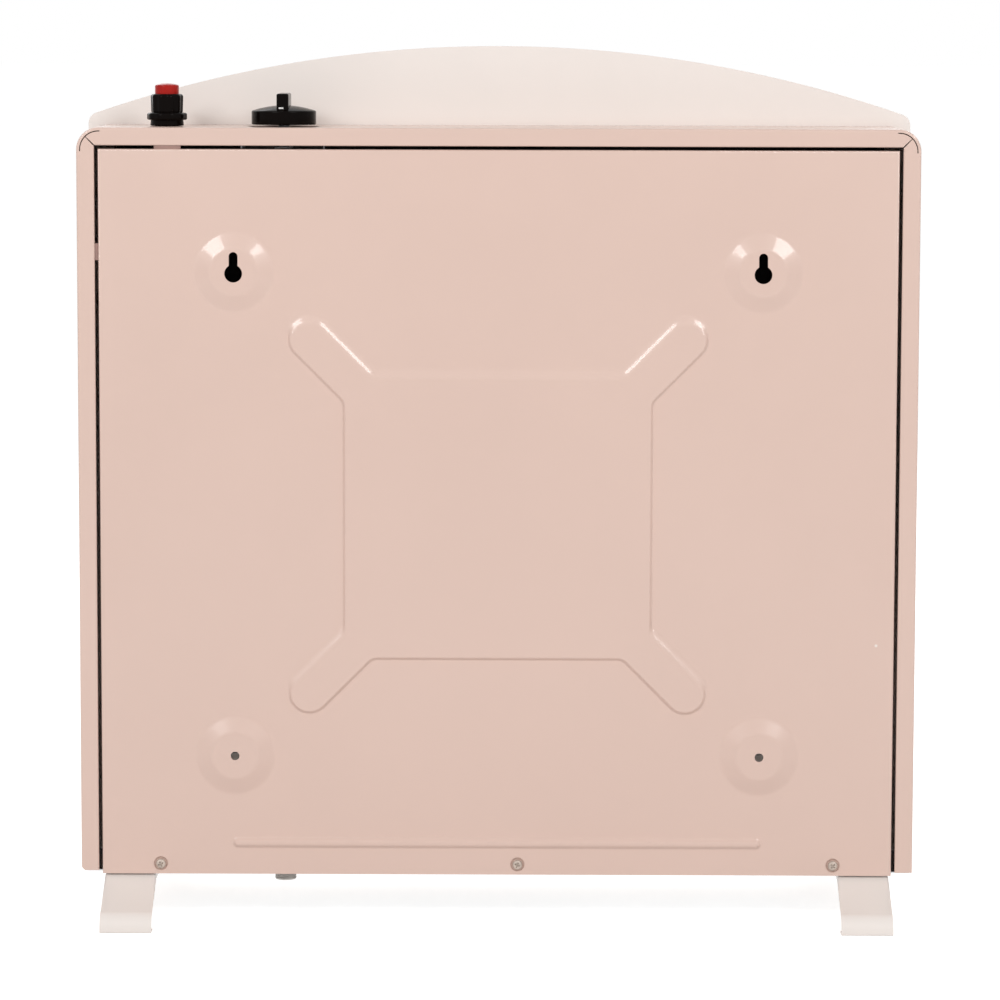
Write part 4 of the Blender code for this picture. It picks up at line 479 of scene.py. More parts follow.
def curve_along(name, paths, closed, **settings):
    """Curve with its settings, along paths of straight lines."""
    curve = bpy.data.curves.new(name, "CURVE")
    for key, value in settings.items():
        setattr(curve, key, value)
    for places in paths:
        spline = curve.splines.new("POLY")
        spline.points.add(len(places) - 1)
        spline.use_cyclic_u = closed
        for point, place in zip(spline.points, places):
            point.co = (*place, 1)
    return link(name, curve)


def plate(name, loops, rear, front, edge=0.0):
    """Upright plate between two Y planes, with rounded edges where an edge radius is given."""
    paths = [[(across, up, 0) for across, up in loop] for loop in loops]
    obj = curve_along(name, paths, True, dimensions="2D", fill_mode="BOTH", extrude=(rear - front) / 2 - edge,
                      bevel_depth=edge, bevel_resolution=2, offset=-edge)
    obj.rotation_euler = (pi / 2, 0, 0)
    obj.location = (0, (rear + front) / 2, 0)
    return bake(obj)


def lathe(name, profile, place, ring=False, ripple=None, sides=ROUND_SIDES):
    """Piece turned about an upright axis from radius and height pairs. A ripple may vary the radius."""
    shape = bmesh.new()
    rows = []
    for radius, height in profile:
        if radius < MERGE:
            rows.append([shape.verts.new((place[0], place[1], place[2] + height))])
            continue
        row = []
        for index in range(sides):
            angle = 2 * pi * index / sides
            reach = ripple(radius, height, angle) if ripple else radius
            row.append(shape.verts.new((place[0] + reach * cos(angle),
                                        place[1] + reach * sin(angle), place[2] + height)))
        rows.append(row)
    pairs = list(zip(rows, rows[1:]))
    if ring:
        pairs.append((rows[-1], rows[0]))
    for upper, lower in pairs:
        for index in range(sides):
            after = (index + 1) % sides
            corners = [upper[index % len(upper)], upper[after % len(upper)],
                       lower[after % len(lower)], lower[index % len(lower)]]
            unique = list(dict.fromkeys(corners))
            if len(unique) > 2:
                shape.faces.new(unique)
    bmesh.ops.recalc_face_normals(shape, faces=shape.faces)
    return from_shape(name, shape)


def wire(name, points, radius, closed=False):
    """Round wire or tube along a path."""
    return bake(curve_along(name, [points], closed, dimensions="3D", bevel_depth=radius, bevel_resolution=3,
                            use_fill_caps=True))


def fit(tree, node, values):
    """Set a node's inputs to values, or join them to outputs of other nodes."""
    for key, value in dict(values).items():
        if isinstance(value, bpy.types.NodeSocket):
            tree.links.new(value, node.inputs[key])
        else:
            node.inputs[key].default_value = value


def tree_node(tree, kind, values=(), settings=()):
    """New node with its settings and its inputs."""
    made = tree.nodes.new("ShaderNode" + kind)
    for key, value in dict(settings).items():
        setattr(made, key, value)
    fit(tree, made, values)
    return made


def calculated(tree, operation, first, second):
    """Result of one operation on two numbers."""
    made = tree_node(tree, "Math", {0: first, 1: second}, {"operation": operation})
    return made.outputs["Value"]


def object_coordinates(tree, stretch=(1, 1, 1), turn=(0, 0, 0)):
    """Coordinates in metres, fixed to the piece."""
    source = tree_node(tree, "TexCoord").outputs["Object"]
    values = {"Vector": source, "Scale": stretch, "Rotation": turn}
    return tree_node(tree, "Mapping", values).outputs["Vector"]


def noise(tree, vector, scale, detail=3.0):
    """Noise factor at a scale, in metres."""
    values = {"Vector": vector, "Scale": scale, "Detail": detail, "Roughness": NOISE_ROUGHNESS}
    return tree_node(tree, "TexNoise", values).outputs["Fac"]


def ramp(tree, factor, low, high, from_value=0.35, to_value=0.65):
    """Grey or colour blend between two values over a part of the factor's range."""
    made = tree_node(tree, "ValToRGB", {"Fac": factor})
    places = ((from_value, low), (to_value, high))
    for element, (position, colour) in zip(made.color_ramp.elements, places):
        element.position = position
        element.color = colour
    return made.outputs["Color"]


def grey(value):
    """Opaque grey."""
    return (value, value, value, 1)


def tint(colour, factor):
    """Colour made lighter or darker."""
    return tuple(min(1.0, part * factor) for part in colour) + (1,)


def mixed(tree, factor, first, second):
    """Mix two colours by a factor: inputs 6 and 7 and output 2 of the node are its colours."""
    made = tree_node(tree, "Mix", {0: factor, 6: first, 7: second}, {"data_type": "RGBA"})
    return made.outputs[2]


def bumped(tree, height, strength, distance, below=None):
    """Normal from a height, over another normal."""
    values = {"Height": height, "Strength": strength, "Distance": distance}
    if below:
        values["Normal"] = below
    return tree_node(tree, "Bump", values).outputs["Normal"]


def new_material(name):
    """Material with its node tree and its shader."""
    material = bpy.data.materials.new(name)
    material.use_nodes = True
    return material, material.node_tree, material.node_tree.nodes["Principled BSDF"]


def joined_to(material, key):
    """Tree, shader and the output that is joined to one input of the shader."""
    shader = material.node_tree.nodes["Principled BSDF"]
    return material.node_tree, shader, shader.inputs[key].links[0].from_socket


def surface(name, colour, roughness, metallic=0.0, shade=0.05, shade_scale=6, rough_spread=0.06,
            grain=900, grain_depth=0.00004, stretch=(1, 1, 1), sockets=()):
    """Finish with cloudy colour, uneven gloss and a fine grain, all at their real scale."""
    material, tree, shader = new_material(name)
    plain = object_coordinates(tree)
    stretched = object_coordinates(tree, stretch)
    clouds = ramp(tree, noise(tree, plain, shade_scale), tint(colour, 1 - shade), tint(colour, 1 + shade))
    gloss = ramp(tree, noise(tree, stretched, shade_scale * 8), grey(roughness - rough_spread),
                 grey(roughness + rough_spread))
    normal = bumped(tree, noise(tree, stretched, grain, 2.0), 0.6, grain_depth)
    fit(tree, shader, {"Metallic": metallic, "Base Color": clouds, "Roughness": gloss, "Normal": normal})
    fit(tree, shader, sockets)
    return material


def add_painted_glints(material, colour, scale, share):
    """Scatter small pale dots over a finish: painted highlights that stand in for glints on paint nibs."""
    tree, shader, below = joined_to(material, "Base Color")
    values = {"Vector": object_coordinates(tree), "Scale": scale, "Randomness": 1.0}
    cells = tree_node(tree, "TexVoronoi", values).outputs
    dots = ramp(tree, cells["Distance"], grey(1), grey(0), 0.045, 0.075)
    red = tree_node(tree, "SeparateColor", {"Color": cells["Color"]}).outputs["Red"]
    # The pale dots are painted highlights, not a colour of the paint
    glint_dots = calculated(tree, "MULTIPLY", dots, calculated(tree, "LESS_THAN", red, share))
    fit(tree, shader, {"Base Color": mixed(tree, glint_dots, below, colour)})
    return material


def enamel(name, colour):
    """Semi-gloss oven enamel with a slight orange peel and a few pale dots of painted highlight, for glints
    on paint nibs.
    """
    coat = {"Coat Weight": 0.55, "Coat Roughness": 0.10, "Specular IOR Level": 0.45}
    material = surface(name, colour, 0.42, shade=0.012, shade_scale=5, rough_spread=0.03, grain=420,
                       grain_depth=0.00002, sockets=coat)
    return add_painted_glints(material, NIB_GLINT_COLOUR, 34, 0.035)


def moulding(name, colour, roughness, specular):
    """Glossy moulded plastic with faint flow marks."""
    return surface(name, colour, roughness, shade=0.10, shade_scale=60, rough_spread=0.03, grain=700,
                   grain_depth=0.00002, sockets={"Specular IOR Level": specular})


def perforated_ceramic(name, colour):
    """Burner tile: pale ceramic with a slight scorch and rows of small holes, drawn as a bump and darkened
    with painted shade.
    """
    material = surface(name, colour, 0.85, shade=0.10, shade_scale=30, grain=1500, grain_depth=0.00008)
    tree, shader, below = joined_to(material, "Base Color")
    under = joined_to(material, "Normal")[2]
    grid = object_coordinates(tree, (1 / TILE_HOLE_PITCH, 0, 1 / TILE_HOLE_PITCH), (0, radians(45), 0))
    cells = tree_node(tree, "TexVoronoi", {"Vector": grid, "Scale": 1.0, "Randomness": 0.0})
    holes = ramp(tree, cells.outputs["Distance"], grey(0), grey(1), 0.24, 0.34)
    # The holes' dark colour is painted shade of their depth
    fit(tree, shader, {"Base Color": mixed(tree, holes, HOLE_SHADE_COLOUR, below),
                       "Normal": bumped(tree, holes, 0.8, 0.0006, under)})
    return material


def make_finishes():
    """Finishes by name. A surface's values come in the order of its arguments."""
    rows = (
        ("case_paint", enamel, (0.730, 0.533, 0.456)),
        # Darker brown for the panel tabs: painted shade of the flanges they sit behind
        ("primer", surface, (0.34, 0.21, 0.18), 0.6, 0.0, 0.08, 60),
        ("front_paint", enamel, (0.872, 0.806, 0.760)),
        ("zinc_plate", surface, (0.62, 0.63, 0.64), 0.34, 0.9, 0.14, 90, 0.06, 1400),
        ("guard_chrome", surface, (0.78, 0.78, 0.79), 0.14, 1.0, 0.04, 40, 0.04, 1200, 0.00001),
        ("bright_steel", surface, (0.72, 0.71, 0.70), 0.24, 1.0, 0.06, 12, 0.07, 500, 0.00001, (1, 1, 40)),
        ("dark_steel", surface, (0.20, 0.20, 0.21), 0.44, 0.8, 0.12, 50),
        ("burner_iron", surface, (0.10, 0.10, 0.105), 0.64, 0.4, 0.18, 60, 0.06, 600, 0.0002),
        ("tile_ceramic", perforated_ceramic, (0.80, 0.72, 0.62)),
        ("white_ceramic", surface, (0.88, 0.87, 0.84), 0.26, 0.0, 0.03, 80),
        ("brass", surface, (0.76, 0.57, 0.26), 0.30, 1.0, 0.10, 70),
        ("copper", surface, (0.74, 0.40, 0.26), 0.31, 1.0, 0.16, 25),
        ("cast_alloy", surface, (0.50, 0.47, 0.44), 0.50, 0.75, 0.12, 90, 0.06, 700, 0.00015),
        ("black_plastic", moulding, (0.0038, 0.0022, 0.0018), 0.18, 0.05),
        ("red_plastic", moulding, (0.43, 0.014, 0.009), 0.24, 0.15),
        ("red_rubber", surface, (0.40, 0.05, 0.04), 0.58, 0.0, 0.08, 60),
        ("dull_zinc", surface, (0.52, 0.44, 0.38), 0.46, 0.4, 0.12, 200),
        # Near-black heat shield: painted shade, so the inside seen through the back panel's holes reads dark
        ("sooty_zinc", surface, (0.045, 0.040, 0.038), 0.62, 0.3, 0.15, 40),
        ("mark_white", surface, (0.82, 0.80, 0.78), 0.45, 0.0, 0.05, 200),
    )
    return {name: make(name, *values) for name, make, *values in rows}


def stamped_height(share, blend):
    """Share of the rise at a share of a stamped edge's width, rounded at its foot and its top."""
    slope = 1 / (1 - blend)
    if share < blend:
        return slope * share ** 2 / (2 * blend)
    if share > 1 - blend:
        return 1 - slope * (1 - share) ** 2 / (2 * blend)
    return slope * (share - blend / 2)


def plateau_loop(inset):
    """Outline of the X-shaped plateau, drawn in by an inset."""
    width = PLATEAU_HALF_WIDTH - inset
    height = PLATEAU_HALF_HEIGHT - inset
    radius = PLATEAU_ARM_RADIUS - inset
    fillet = PLATEAU_FILLET + inset
    lean = PLATEAU_ARM_X - PLATEAU_ARM_Z
    side_stop = width - lean - radius * sqrt(2)
    top_stop = height + lean - radius * sqrt(2)
    back = fillet * tan(radians(22.5))
    quarter = arc((width + fillet, side_stop - back), fillet, 180, 135, 5)
    quarter += arc((PLATEAU_ARM_X, PLATEAU_ARM_Z), radius, -45, 135, 16)
    quarter += arc((top_stop - back, height + fillet), fillet, -45, -90, 5)
    loop = quarter + [(-x, z) for x, z in reversed(quarter)]
    loop += [(-x, -z) for x, z in quarter]
    loop += [(x, -z) for x, z in reversed(quarter)]
    return [(x, PLATEAU_MIDDLE + z) for x, z in loop]


def plateau_edge(inset):
    """Outline of the plateau at an inset, spread out where its edge faces upward and is softer."""
    loop = plateau_loop(0)
    points = []
    for index in range(len(loop)):
        before = loop[index - 1]
        after = loop[(index + 1) % len(loop)]
        along = Vector((after[0] - before[0], after[1] - before[1])).normalized()
        upward = min(1.0, max(0.0, (-along.x - SOFT_SLOPE_FROM) / SOFT_SLOPE_SPAN))
        widen = 1 + (PLATEAU_SOFT_SLOPE / PLATEAU_SLOPE - 1) * upward * upward * (3 - 2 * upward)
        own = PLATEAU_SLOPE / 2 + (inset - PLATEAU_SLOPE / 2) * widen
        points.append(plateau_loop(own)[index])
    return points


def bead_loop(inset):
    """Outline of the long bead, drawn in by an inset."""
    half = BEAD_HALF_LENGTH - BEAD_HALF_WIDTH
    radius = BEAD_HALF_WIDTH - inset
    return arc((half, BEAD_HEIGHT), radius, -90, 90, 12) + arc((-half, BEAD_HEIGHT), radius, 90, 270, 12)


def keyhole_loop(x):
    """Round hole with a narrower slot above it."""
    low = BOSS_UPPER - KEYHOLE_DROP
    reach = degrees(asin(KEYHOLE_SLOT_RADIUS / KEYHOLE_RADIUS))
    slot_top = low - KEYHOLE_RADIUS + KEYHOLE_HEIGHT - KEYHOLE_SLOT_RADIUS
    loop = arc((x, low), KEYHOLE_RADIUS, 90 + reach, 450 - reach, 36)
    return loop + arc((x, slot_top), KEYHOLE_SLOT_RADIUS, 0, 180, 16)


def ring_of(shape, loop, height):
    """Vertices along an outline, at a height above the panel's face."""
    return [shape.verts.new((x, CASE_REAR + height, z)) for x, z in loop]


def bridge(shape, outer, inner):
    """Faces between two rings with the same number of vertices."""
    for index in range(len(outer)):
        after = (index + 1) % len(outer)
        shape.faces.new((outer[index], inner[index], inner[after], outer[after]))


def fill(shape, rings):
    """Flat face with holes between rings of vertices."""
    verts = [vertex for ring in rings for vertex in ring]
    flat = [[Vector((vertex.co.x, vertex.co.z, 0)) for vertex in ring] for ring in rings]
    for corners in tessellate_polygon(flat):
        shape.faces.new([verts[index] for index in corners])


def stamp(shape, loop_at, rise, slope, blend, steps, holes=()):
    """Raise one stamped form and return the ring that meets the flat sheet."""
    outer = ring_of(shape, loop_at(-GUARD_RING), 0)
    ring = outer
    for step in range(steps + 1):
        share = step / steps
        following = ring_of(shape, loop_at(slope * share), rise * stamped_height(share, blend))
        bridge(shape, ring, following)
        ring = following
    inner = ring_of(shape, loop_at(slope + GUARD_RING), rise)
    bridge(shape, ring, inner)
    fill(shape, [inner] + [ring_of(shape, hole, rise) for hole in holes])
    return outer


def dimple(shape, x):
    """Ring-shaped dimple round a screw, and the screw's hole."""
    steps = [(DIMPLE_RADIUS + GUARD_RING, 0), (DIMPLE_RADIUS, 0), *DIMPLE_SLOPE, (SCREW_HOLE_RADIUS, -1)]
    rings = [ring_of(shape, circle(x, PANEL_SCREW_HEIGHT, radius, 48), DIMPLE_DEPTH * depth)
             for radius, depth in steps]
    for outer, inner in zip(rings, rings[1:]):
        bridge(shape, outer, inner)
    return rings[0]


def make_back_panel():
    """Stamped pan with bosses, plateau, bead, dimples, bent edges and two tabs."""
    shape = box_shape((-PANEL_HALF, CASE_REAR - PANEL_RETURN, PANEL_BOTTOM),
                      (PANEL_HALF, CASE_REAR, PANEL_TOP))
    open_sides = [face for face in shape.faces if face.normal.y < -0.5 or face.normal.z < -0.5]
    bmesh.ops.delete(shape, geom=open_sides, context="FACES_ONLY")
    bends = [edge for edge in shape.edges if len(edge.link_faces) == 2
             and min(vertex.co.y for vertex in edge.verts) > CASE_REAR - MERGE]
    round_edges(shape, bends, BEND_RADIUS, 4)
    rear = max(shape.faces, key=lambda face: face.calc_area() * face.normal.y)
    outer = [loop.vert for loop in rear.loops]
    bmesh.ops.delete(shape, geom=[rear], context="FACES_ONLY")
    rings = [outer, stamp(shape, plateau_edge, PLATEAU_RISE, PLATEAU_SLOPE, PLATEAU_BLEND, PLATEAU_STEPS),
             stamp(shape, bead_loop, BEAD_RISE, BEAD_SLOPE, BEAD_BLEND, BEAD_STEPS)]
    for x in (-BOSS_X, BOSS_X):
        for z in (BOSS_UPPER, BOSS_LOWER):
            hole = keyhole_loop(x) if z == BOSS_UPPER else circle(x, z, WALL_HOLE_RADIUS, 32)
            rings.append(stamp(shape, lambda inset: circle(x, z, BOSS_BASE_RADIUS - inset), BOSS_RISE,
                               BOSS_BASE_RADIUS - BOSS_TOP_RADIUS, BOSS_BLEND, BOSS_STEPS, [hole]))
    rings += [dimple(shape, x) for x, _ in PANEL_SCREWS]
    fill(shape, rings)
    face_outward(shape, lambda face: face.calc_area() * abs(face.normal.y), 1)
    skin = thicken(from_shape("back_panel_formed", shape), SHEET)
    top_tab = box("top_tab", (TOP_TAB_X - TOP_TAB_WIDTH / 2, TAB_REAR - SHEET, PANEL_TOP - SHEET),
                  (TOP_TAB_X + TOP_TAB_WIDTH / 2, TAB_REAR, PANEL_TOP + TAB_LENGTH), TAB_EDGE)
    side_tab = box("side_tab", (PANEL_HALF - SHEET, TAB_REAR - SHEET, SIDE_TAB_HEIGHT - SIDE_TAB_WIDTH / 2),
                   (PANEL_HALF + TAB_LENGTH, TAB_REAR, SIDE_TAB_HEIGHT + SIDE_TAB_WIDTH / 2), TAB_EDGE)
    settle(skin, "case_paint", ["back_panel"])
    # The tabs get a darker brown finish: painted shade, as they sit back behind the flanges
    settle(merge("panel_tabs", [top_tab, side_tab]), "primer", [])


def case_stations():
    """Stations up one side, round a corner and to the middle of the top: place, direction, angle."""
    centre = Vector((CASE_HALF - CORNER_RADIUS, DECK_TOP - CORNER_RADIUS))
    lead = sin(radians(SLIT_OVERREACH)) * CORNER_RADIUS
    stations = [(None, SIDE_BOTTOM), (None, centre.y - lead)]
    angles = [CORNER_STEP * index for index in range(13) if index != 6]
    angles += [45 - MITRE_HALF_ANGLE, 45 + MITRE_HALF_ANGLE]
    stations += [(angle, None) for angle in sorted(angles)]
    stations.append((None, -(centre.x - lead)))
    return centre, stations


def make_casing():
    """Wrapped sheet with bent flanges, mitred and slit at the rounded corners."""
    centre, stations = case_stations()
    rows = rounded([(0, CASE_FRONT + GAP, 0), (0, CASE_REAR, BEND_RADIUS), (SLIT_INSET, CASE_REAR, 0)], 5)
    slit_row = len(rows) - 1
    rows.append((SLIT_INSET + SLIT_WIDTH, CASE_REAR))
    rows += [(FLANGE - back * HEM_DEPTH, CASE_REAR - down * HEM_DEPTH) for back, down in HEM_CURVE]

    def place(station, inset):
        """Across and up, at an inset from the sheet's outer line."""
        angle, along = station
        if angle is not None:
            inner = max(0.0, (inset - SLIT_INSET - SLIT_WIDTH) / (FLANGE - SLIT_INSET - SLIT_WIDTH))
            if abs(abs(angle - 45) - MITRE_HALF_ANGLE) < MERGE:
                angle += copysign(MITRE_INNER_HALF_ANGLE - MITRE_HALF_ANGLE, angle - 45) * inner
            across, up = cos(radians(angle)), sin(radians(angle))
            radius = (CORNER_RADIUS - inset) * (1 + inner * (1 / max(across, up) - 1))
            return centre.x + radius * across, centre.y + radius * up
        if along > 0:
            return CASE_HALF - inset, along
        return -along, DECK_TOP - inset

    shape = bmesh.new()
    for side in (1, -1):
        grid = []
        for station in stations + [(None, -0.0)]:
            grid.append([])
            for inset, y in rows:
                x, z = place(station, inset)
                grid[-1].append(shape.verts.new((side * x, y, z)))
        for index, (first, second) in enumerate(zip(grid, grid[1:])):
            in_corner = 1 <= index < len(stations) - 1
            angle = stations[index][0]
            at_mitre = angle is not None and abs(angle - 45 + MITRE_HALF_ANGLE) < MERGE
            for row in range(len(rows) - 1):
                if (in_corner and row == slit_row) or (at_mitre and row > slit_row):
                    continue
                corners = (first[row], second[row], second[row + 1], first[row + 1])
                shape.faces.new(corners if side > 0 else corners[::-1])
    face_outward(shape, lambda face: face.calc_area() * abs(face.normal.z), 2)
    casing = thicken(from_shape("casing_formed", shape), SHEET)
    shift = FLANGE_CHAMFER * CHAMFER_SHIFT
    chamfer = box("chamfer", (-FLANGE_CHAMFER, -OVERRUN, -FLANGE_CHAMFER),
                  (FLANGE_CHAMFER, OVERRUN, FLANGE_CHAMFER))
    chamfer.rotation_euler = (0, radians(45), 0)
    chamfer.location = (CASE_HALF + shift, CASE_REAR, SIDE_BOTTOM - shift)
    tools = [chamfer]
    for x, radius in ((KNOB_X, KNOB_HOLE_RADIUS), (IGNITER_X, IGNITER_HOLE_RADIUS)):
        profile = [(0, OVERRUN), (radius, OVERRUN), (radius, -OVERRUN), (0, -OVERRUN)]
        tools.append(lathe("hole", profile, (x, CONTROL_Y, DECK_TOP)))
    settle(cut(casing, tools), "case_paint", ["casing_shell"])


def arch_loop():
    """Outline of the front panel with its arched top and rounded upper corners."""
    middle = ARCH_TOP - ARCH_RADIUS
    corner_x = CASE_HALF - ARCH_CORNER_RADIUS
    corner_z = middle + sqrt((ARCH_RADIUS - ARCH_CORNER_RADIUS) ** 2 - corner_x ** 2)
    meet = degrees(atan2(corner_z - middle, corner_x))
    loop = [(-CASE_HALF, PANEL_BOTTOM), (CASE_HALF, PANEL_BOTTOM)]
    loop += arc((corner_x, corner_z), ARCH_CORNER_RADIUS, 0, meet, 12)
    loop += arc((0, middle), ARCH_RADIUS, meet, 180 - meet, 96)[1:-1]
    return loop + arc((-corner_x, corner_z), ARCH_CORNER_RADIUS, 180 - meet, 180, 12)


def make_front_panel():
    """Arched plate with its window."""
    window = rectangle(-WINDOW_PANEL_HALF, WINDOW_PANEL_LOW, WINDOW_PANEL_HALF, WINDOW_PANEL_HIGH)
    panel = plate("front_panel_formed", [arch_loop(), window], CASE_FRONT, PANEL_FACE, ARCH_EDGE)
    settle(panel, "front_paint", ["front_panel"])


def make_surround():
    """Boxed front with soft corners, three openings and slots along its top."""
    def soft_block(name, low, high, radius):
        """Box rounded everywhere but round its rear face."""
        shape = box_shape(low, high)
        edges = [edge for edge in shape.edges if min(vertex.co.y for vertex in edge.verts) < high[1] - MERGE]
        round_edges(shape, edges, radius, 10)
        return from_shape(name, shape)

    surround = soft_block("front_surround_formed", (-SURROUND_HALF, SURROUND_FACE, PANEL_BOTTOM),
                          (SURROUND_HALF, SURROUND_REAR, SURROUND_TOP), SURROUND_CORNER)
    tools = [soft_block("room", (SHEET - SURROUND_HALF, SURROUND_FACE + SHEET, PANEL_BOTTOM + SHEET),
                        (SURROUND_HALF - SHEET, SURROUND_REAR + OVERRUN, SURROUND_TOP - SHEET),
                        SURROUND_CORNER - SHEET)]
    for low, high in ((WINDOW_LOW, WINDOW_HIGH), (OUTLET_LOW, OUTLET_HIGH), (INTAKE_LOW, INTAKE_HIGH)):
        loop = round_rectangle(-OPENING_HALF, low, OPENING_HALF, high, OPENING_CORNER)
        tools.append(plate("opening", [loop], SURROUND_FACE + OVERRUN, SURROUND_FACE - OVERRUN))
    half_x, half_y = TOP_SLOT_HALF
    for row in TOP_SLOT_ROWS:
        for index in range(TOP_SLOTS):
            x = (index - (TOP_SLOTS - 1) / 2) * TOP_SLOT_PITCH
            y = SURROUND_REAR - row
            tools.append(box("slot", (x - half_x, y - half_y, SURROUND_TOP - OVERRUN),
                             (x + half_x, y + half_y, SURROUND_TOP + OVERRUN)))
    settle(cut(surround, tools), "front_paint", ["front_surround"])


def make_louvre(name, low, high):
    """Rim with bowed blades and two posts."""
    front = SURROUND_FACE + SHEET + GAP
    rear = front + LOUVRE_SHEET
    half = OPENING_HALF + LOUVRE_RIM
    parts = [plate("rim", [rectangle(-half, low - LOUVRE_RIM, half, high + LOUVRE_RIM),
                           rectangle(-OPENING_HALF, low, OPENING_HALF, high)], rear, front)]
    count = round((high - low) / LOUVRE_PITCH)
    blade_half = OPENING_HALF + LOUVRE_RIM / 2
    middle_y = front + LOUVRE_BLADE_DEPTH / 2 * cos(LOUVRE_TILT) + LOUVRE_SHEET
    for index in range(count - 1):
        height = low + (index + 1) * (high - low) / count
        shape = bmesh.new()
        lines = []
        for step in range(LOUVRE_STEPS + 1):
            along = (step / LOUVRE_STEPS - 0.5) * LOUVRE_BLADE_DEPTH
            bow = LOUVRE_BOW * (1 - (2 * step / LOUVRE_STEPS - 1) ** 2) - LOUVRE_BOW / 2
            y = middle_y + along * cos(LOUVRE_TILT) - bow * sin(LOUVRE_TILT)
            z = height + along * sin(LOUVRE_TILT) + bow * cos(LOUVRE_TILT)
            lines.append([shape.verts.new((side * blade_half, y, z)) for side in (-1, 1)])
        for first, second in zip(lines, lines[1:]):
            shape.faces.new((first[0], first[1], second[1], second[0]))
        parts.append(thicken(from_shape("blade", shape), LOUVRE_SHEET))
    for x in (-OPENING_HALF / 3, OPENING_HALF / 3):
        parts.append(box("post", (x - LOUVRE_POST_WIDTH / 2, front, low - LOUVRE_RIM / 2),
                         (x + LOUVRE_POST_WIDTH / 2, rear, high + LOUVRE_RIM / 2), LOUVRE_POST_EDGE))
    settle(merge(name + "_formed", parts), "front_paint", [name])


def make_guard():
    """Wire guard: closed frame, bowed upright wires, two cross wires and four hooks."""
    low = WINDOW_LOW - GUARD_OVERLAP
    high = WINDOW_HIGH + GUARD_OVERLAP
    half = OPENING_HALF + GUARD_OVERLAP
    rail_y = SURROUND_FACE - GAP - GUARD_FRAME_RADIUS
    bow_y = rail_y - GUARD_BULGE
    loop = round_rectangle(-half, low, half, high, GUARD_CORNER)
    parts = [wire("frame", [(x, rail_y, z) for x, z in loop], GUARD_FRAME_RADIUS, closed=True)]
    bend = GUARD_SHOULDER / 2
    path = rounded([(rail_y, low, 0), (bow_y, low + GUARD_SHOULDER, bend),
                    (bow_y, high - GUARD_SHOULDER, bend), (rail_y, high, 0)], 8)
    for index in range(GUARD_WIRES):
        x = (2 * index / (GUARD_WIRES - 1) - 1) * (half - GUARD_CORNER - GUARD_WIRE_RADIUS)
        parts.append(wire("upright", [(x, y, z) for y, z in path], GUARD_WIRE_RADIUS))
    third = (WINDOW_HIGH - WINDOW_LOW) / 3
    for z in (WINDOW_LOW + third, WINDOW_HIGH - third):
        ends = [(side * (half - GUARD_CORNER), bow_y + GUARD_WIRE_RADIUS, z) for side in (-1, 1)]
        parts.append(wire("cross", ends, GUARD_WIRE_RADIUS))
    for z in (low, high):
        for x in (-GUARD_HOOK_X, GUARD_HOOK_X):
            hook = [(x, rail_y, z), (x, rail_y + GUARD_HOOK_LENGTH, z)]
            parts.append(wire("hook", hook, GUARD_HOOK_RADIUS))
    settle(merge("wire_guard_formed", parts), "guard_chrome", ["wire_guard"])


def foot_path():
    """Upper line of a foot in the YZ plane, from the front lip to the rear lip."""
    half = rounded([(0, FOOT_TOP, 0), (FOOT_LEG_TOP, FOOT_TOP, FOOT_BEND), (FOOT_CREASE, TOE_HEIGHT, 0)], 6)
    reach = FOOT_TOE - FOOT_CREASE
    for index in range(1, TOE_STEPS + 1):
        angle = radians(TOE_SWEEP * index / TOE_STEPS)
        half.append((FOOT_CREASE + reach * sin(angle), TOE_HEIGHT * cos(angle)))
    last = half.pop()
    half += rounded([(*last, 0), (FOOT_TOE, 0, TOE_LIP_RADIUS), (FOOT_TOE - TOE_LIP, 0, 0)], 4)
    return [(-y, z) for y, z in reversed(half)] + half[1:]


def make_foot(name, side, screw_head):
    """Channel foot: side flanges that run out at the crease, sloping legs and rolled toes."""
    shape = bmesh.new()
    lines = []
    for y, z in foot_path():
        run_out = min(1.0, max(0.0, (FOOT_CREASE - abs(y)) / (FOOT_CREASE - FOOT_LEG_TOP)))
        fold = FOOT_FOLD * max(FOOT_FOLD_LEAST, min(1.0, run_out * FOOT_FOLD_FADE))
        depth = fold + (FOOT_FLANGE - FOOT_FOLD) * run_out
        half = FOOT_HALF_WIDTH
        profile = rounded([(-half, -depth, 0), (-half, 0, fold), (half, 0, fold), (half, -depth, 0)], 4)
        flat = min(1.0, run_out * FOOT_FLANGE_FADE)
        lines.append([shape.verts.new((side * FOOT_MIDDLE + x, y, z + drop * flat)) for x, drop in profile])
    for first, second in zip(lines, lines[1:]):
        for index in range(len(first) - 1):
            shape.faces.new((first[index], second[index], second[index + 1], first[index + 1]))
    face_outward(shape, lambda face: face.calc_center_median().z * face.calc_area(), 2)
    foot = thicken(from_shape(name + "_formed", shape), FOOT_SHEET)
    settle(foot, "front_paint", [name])
    for end, place in ((1, "rear"), (-1, "front")):
        where = Matrix.Translation((side * FOOT_MIDDLE, end * FOOT_SCREW_Y, FOOT_TOP - FOOT_SHEET - GAP))
        node = f"foot_screw_{name[5:]}_{place}"
        place_screw("zinc_plate", screw_head, node, where @ Matrix.Rotation(pi, 4, "X"))


